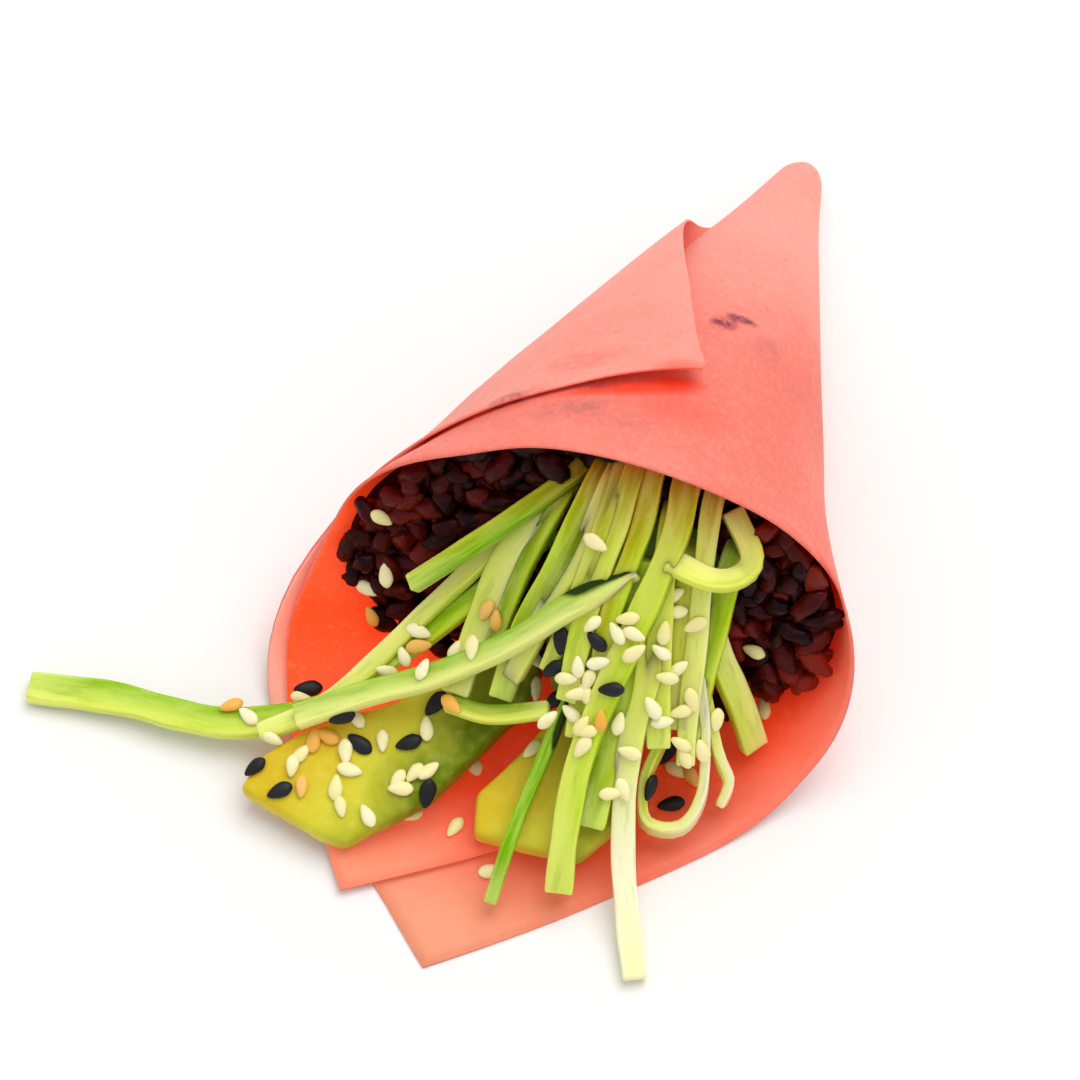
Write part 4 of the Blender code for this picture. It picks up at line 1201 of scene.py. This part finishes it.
def avocado_material(settings, name, start, end):
    """Buttery flesh that turns from yellow to green from start to end, with pale flecks as painted
    highlights.
    """
    material, tree, shader = new_material(name + "_flesh")
    way = end - start
    along = vector_math(tree, "SUBTRACT", object_place(tree), start)
    share = vector_math(tree, "DOT_PRODUCT", along, way / way.length_squared, "Value")
    wobble = grain_noise(tree, object_place(tree), 130.0, 3.0)
    share = combine(tree, "ADD", share, remap(tree, wobble, 0.3, 0.7, -0.14, 0.14))
    colour = blend(tree, remap(tree, share, 0.0, 0.55), settings.yellow, settings.cream)
    colour = blend(tree, remap(tree, share, 0.5, 1.0), colour, settings.green)
    fine = grain_noise(tree, object_place(tree), 800.0, 4.0)
    # painted highlights: pale flecks by fine noise
    colour = blend(tree, remap(tree, fine, 0.45, 0.8, 0.0, 0.22), colour, screen(236, 226, 118))
    set_surface(tree, shader, colour, 0.38, 0.30, (1.0, 0.97, 0.4))
    translucent(shader, 0.25, (1.0, 0.9, 0.25), 0.0012)
    bump(tree, shader, combine(tree, "ADD", fine, wobble), 0.30, 0.00025)
    return material


def avocado_slice(name, material):
    """A soft slice: its outline is extruded, rounded, and given an uneven surface."""
    outline, front, (top, top_slope), (under, under_slope) = SLICES[name]
    work = bmesh.new()
    bottom = work.faces.new([work.verts.new(in_frame((x, y, under + under_slope * (y - front))))
                             for x, y in outline])
    grown = bmesh.ops.extrude_face_region(work, geom=[bottom])["geom"]
    for vert in [item for item in grown if isinstance(item, bmesh.types.BMVert)]:
        y = vert.co.y / MM - ROLL_PLACE.y
        vert.co.z = (top + top_slope * (y - front)) * MM
    bmesh.ops.recalc_face_normals(work, faces=work.faces)
    upper = [edge for edge in work.edges if edge.calc_face_angle(0.0) > 0.5]
    bmesh.ops.bevel(work, geom=upper, offset=SLICE_BEVEL * MM, segments=3, profile=0.5,
                    affect="EDGES", material=-1)
    slice_ = finish_mesh(name + "_piece", work)
    even = slice_.modifiers.new("even", "REMESH")
    even.mode = "VOXEL"
    even.voxel_size = SLICE_VOXEL
    ready = bpy.data.meshes.new_from_object(
        slice_.evaluated_get(bpy.context.evaluated_depsgraph_get()))
    slice_.modifiers.clear()
    slice_.data = ready
    work = bmesh.new()
    work.from_mesh(ready)
    for _ in range(SLICE_SMOOTHING):
        bmesh.ops.smooth_vert(work, verts=work.verts, factor=0.5, use_axis_x=True,
                              use_axis_y=True, use_axis_z=True)
    for vert in work.verts:
        wave = sum(height * noise.noise(vert.co * scale) for scale, height in SLICE_WAVES)
        vert.co += vert.normal * wave * MM
    work.to_mesh(ready)
    work.free()
    ready.shade_smooth()
    ready.materials.clear()
    ready.materials.append(material)
    return slice_


class HANDROLL_OT_avocado(bpy.types.Operator):
    """Cut the two avocado slices"""
    bl_idname = "hand_roll.avocado"
    bl_label = "Avocado slices"

    def execute(self, context):
        settings = context.scene.hand_roll_avocado
        for name, (start, end) in SLICE_FADES.items():
            material = avocado_material(settings, name, in_frame(start), in_frame(end))
            ride_and_slot(avocado_slice(name, material), "avocado", name)
        return {"FINISHED"}


def seed_shape(point):
    """A sesame seed: flat, round at one end and pointed at the other."""
    along = point.x + 0.5
    belly = 0.62 + 0.52 * along - 0.22 * smooth_step(0.7, 1.0, along)
    return Vector((point.x, point.y * belly, point.z * (0.8 + 0.25 * along)))


def seed_material(name, colour, second, roughness):
    """Dry seed coat with a fine grain and a little mottling."""
    material, tree, shader = new_material(name)
    tone = attribute(tree, "tone")
    mottle = grain_noise(tree, object_place(tree), 900.0, 4.0)
    share = combine(tree, "MULTIPLY", tone, remap(tree, mottle, 0.35, 0.7, 0.3, 1.0))
    set_surface(tree, shader, blend(tree, share, colour, second), roughness, 0.35)
    bump(tree, shader, grain_noise(tree, object_place(tree), 3200.0, 3.0), 0.25, 0.00008)
    return material


def lay_seed(pixel, trees, heading, size):
    """The matrix of a seed that shows at a pixel, lying on what is under it."""
    place, normal = seen_at(pixel, trees)
    if place is None:
        return None
    _, right, up, forward = camera_axes()
    for x, y in ((1, 0), (-1, 0), (0, 1), (0, -1)):
        beside = (pixel[0] + x * GROUND_PIXELS, pixel[1] + y * GROUND_PIXELS)
        near, slope = seen_at(beside, trees)
        if near is not None and (near - place).length < GROUND_REACH * MM:
            normal = normal + slope * GROUND_SHARE
    normal = (normal.normalized() - forward * FACING_SHARE).normalized()
    along = right * math.cos(heading) + up * math.sin(heading)
    return lie_on(place + normal * (size[2] / 2 - SEED_SINK), normal, along, size)


class HANDROLL_OT_sesame(bpy.types.Operator):
    """Scatter the white, toasted and black sesame seeds"""
    bl_idname = "hand_roll.sesame"
    bl_label = "Sesame seeds"

    def execute(self, context):
        settings = context.scene.hand_roll_sesame
        rng = random.Random(23)
        carriers = ("paper_sheet", "rice_grains", "cucumber_strips", "cucumber_long_strip",
                    "cucumber_core", "avocado_slice_left_piece", "avocado_slice_right_piece")
        trees = [tree_of(bpy.data.objects[name]) for name in carriers]
        template = oval_template(16, 12, seed_shape)
        turns = rng.sample(range(0, 360), 180)
        kinds = {
            "sesame_white": ([(x, y, turns[k]) for k, (x, y) in enumerate(WHITE_SEEDS)],
                             settings.white, screen(255, 250, 214), 0.38),
            "sesame_toasted": ([(x, y, turns[-1 - k]) for k, (x, y) in enumerate(TOASTED_SEEDS)],
                               settings.toasted, screen(250, 214, 130), 0.38),
            "sesame_black": (BLACK_SEEDS, settings.black, screen(26, 27, 36), 0.50),
        }
        for name, (spots, colour, second, roughness) in kinds.items():
            copies = []
            for x, y, heading in spots:
                grow = rng.uniform(0.9, 1.08)
                if name != "sesame_black":
                    grow *= settings.white_share
                size = (settings.seed_length * grow, settings.seed_width * grow,
                        settings.seed_thickness * rng.uniform(0.9, 1.1))
                matrix = lay_seed((x, y), trees, math.radians(heading), size)
                if matrix is not None:
                    copies.append((template, matrix, rng.random()))
            slot = "sesame_black" if name == "sesame_black" else "sesame_white"
            material = seed_material(name + "_coat", colour, second, roughness)
            ride_and_slot(joined_copies(name, copies, material), slot)
        return {"FINISHED"}


def floor_material(colour):
    """A plain pale matt floor."""
    material, tree, shader = new_material("floor")
    shade = grain_noise(tree, object_place(tree), 3.0, 2.0)
    colour = blend(tree, shade, colour, mix(colour, (1, 1, 1), 0.3))
    set_surface(tree, shader, colour, 0.7)
    return material


class HANDROLL_OT_stage(bpy.types.Operator):
    """Set the floor, the light and the camera"""
    bl_idname = "hand_roll.stage"
    bl_label = "Stage"

    def execute(self, context):
        scene = context.scene
        settings = scene.hand_roll_stage
        work = bmesh.new()
        bmesh.ops.create_grid(work, x_segments=1, y_segments=1, size=FLOOR_HALF)
        floor = finish_mesh("floor", work, floor_material(tuple(settings.floor)))
        world = bpy.data.worlds.new("soft_sky")
        world.use_nodes = True
        sky = world.node_tree.nodes["Background"]
        sky.inputs["Color"].default_value = (1.0, 1.0, 1.0, 1.0)
        sky.inputs["Strength"].default_value = settings.sky
        scene.world = world
        lamp = bpy.data.lights.new("key", "AREA")
        lamp.energy = settings.key
        lamp.size = LAMP_SIZE
        key = bpy.data.objects.new("key", lamp)
        key.location = LAMP_PLACE
        key.rotation_euler = (-key.location).to_track_quat("-Z", "Y").to_euler()
        scene.collection.objects.link(key)
        lens = bpy.data.cameras.new("camera")
        lens.sensor_width = SENSOR
        lens.lens = PIXELS_PER_MM * VIEW_DISTANCE / IMAGE_SIDE * SENSOR
        camera = bpy.data.objects.new("camera", lens)
        place, _, _, forward = camera_axes()
        camera.location = place
        camera.rotation_euler = forward.to_track_quat("-Z", "Y").to_euler()
        scene.collection.objects.link(camera)
        scene.camera = camera
        scene.view_settings.view_transform = "Standard"
        return {"FINISHED"}


class HANDROLL_PT_panel(bpy.types.Panel):
    """Lists the hand roll's pieces"""
    bl_idname = "HANDROLL_PT_panel"
    bl_label = "Hand Roll"
    bl_space_type = "VIEW_3D"
    bl_region_type = "UI"
    bl_category = "Hand Roll"

    def draw(self, context):
        for operator in OPERATORS:
            self.layout.operator(operator.bl_idname)


SETTINGS = {
    "hand_roll_paper": PaperSettings,
    "hand_roll_rice": RiceSettings,
    "hand_roll_cucumber": CucumberSettings,
    "hand_roll_avocado": AvocadoSettings,
    "hand_roll_sesame": SesameSettings,
    "hand_roll_stage": StageSettings,
}
OPERATORS = [HANDROLL_OT_paper, HANDROLL_OT_rice, HANDROLL_OT_cucumber, HANDROLL_OT_avocado,
             HANDROLL_OT_sesame, HANDROLL_OT_stage]


def register():
    """Add the settings, the operators and the panel to Blender."""
    for kind in [*SETTINGS.values(), *OPERATORS, HANDROLL_PT_panel]:
        bpy.utils.register_class(kind)
    for name, kind in SETTINGS.items():
        setattr(bpy.types.Scene, name, PointerProperty(type=kind))


def unregister():
    """Remove what register added."""
    for name in SETTINGS:
        delattr(bpy.types.Scene, name)
    for kind in [HANDROLL_PT_panel, *OPERATORS, *SETTINGS.values()]:
        bpy.utils.unregister_class(kind)


def main():
    """Build every piece in order."""
    register()
    bpy.ops.hand_roll.paper()
    bpy.ops.hand_roll.rice()
    bpy.ops.hand_roll.cucumber()
    bpy.ops.hand_roll.avocado()
    bpy.ops.hand_roll.sesame()
    bpy.ops.hand_roll.stage()


if __name__ == "__main__":
    main()
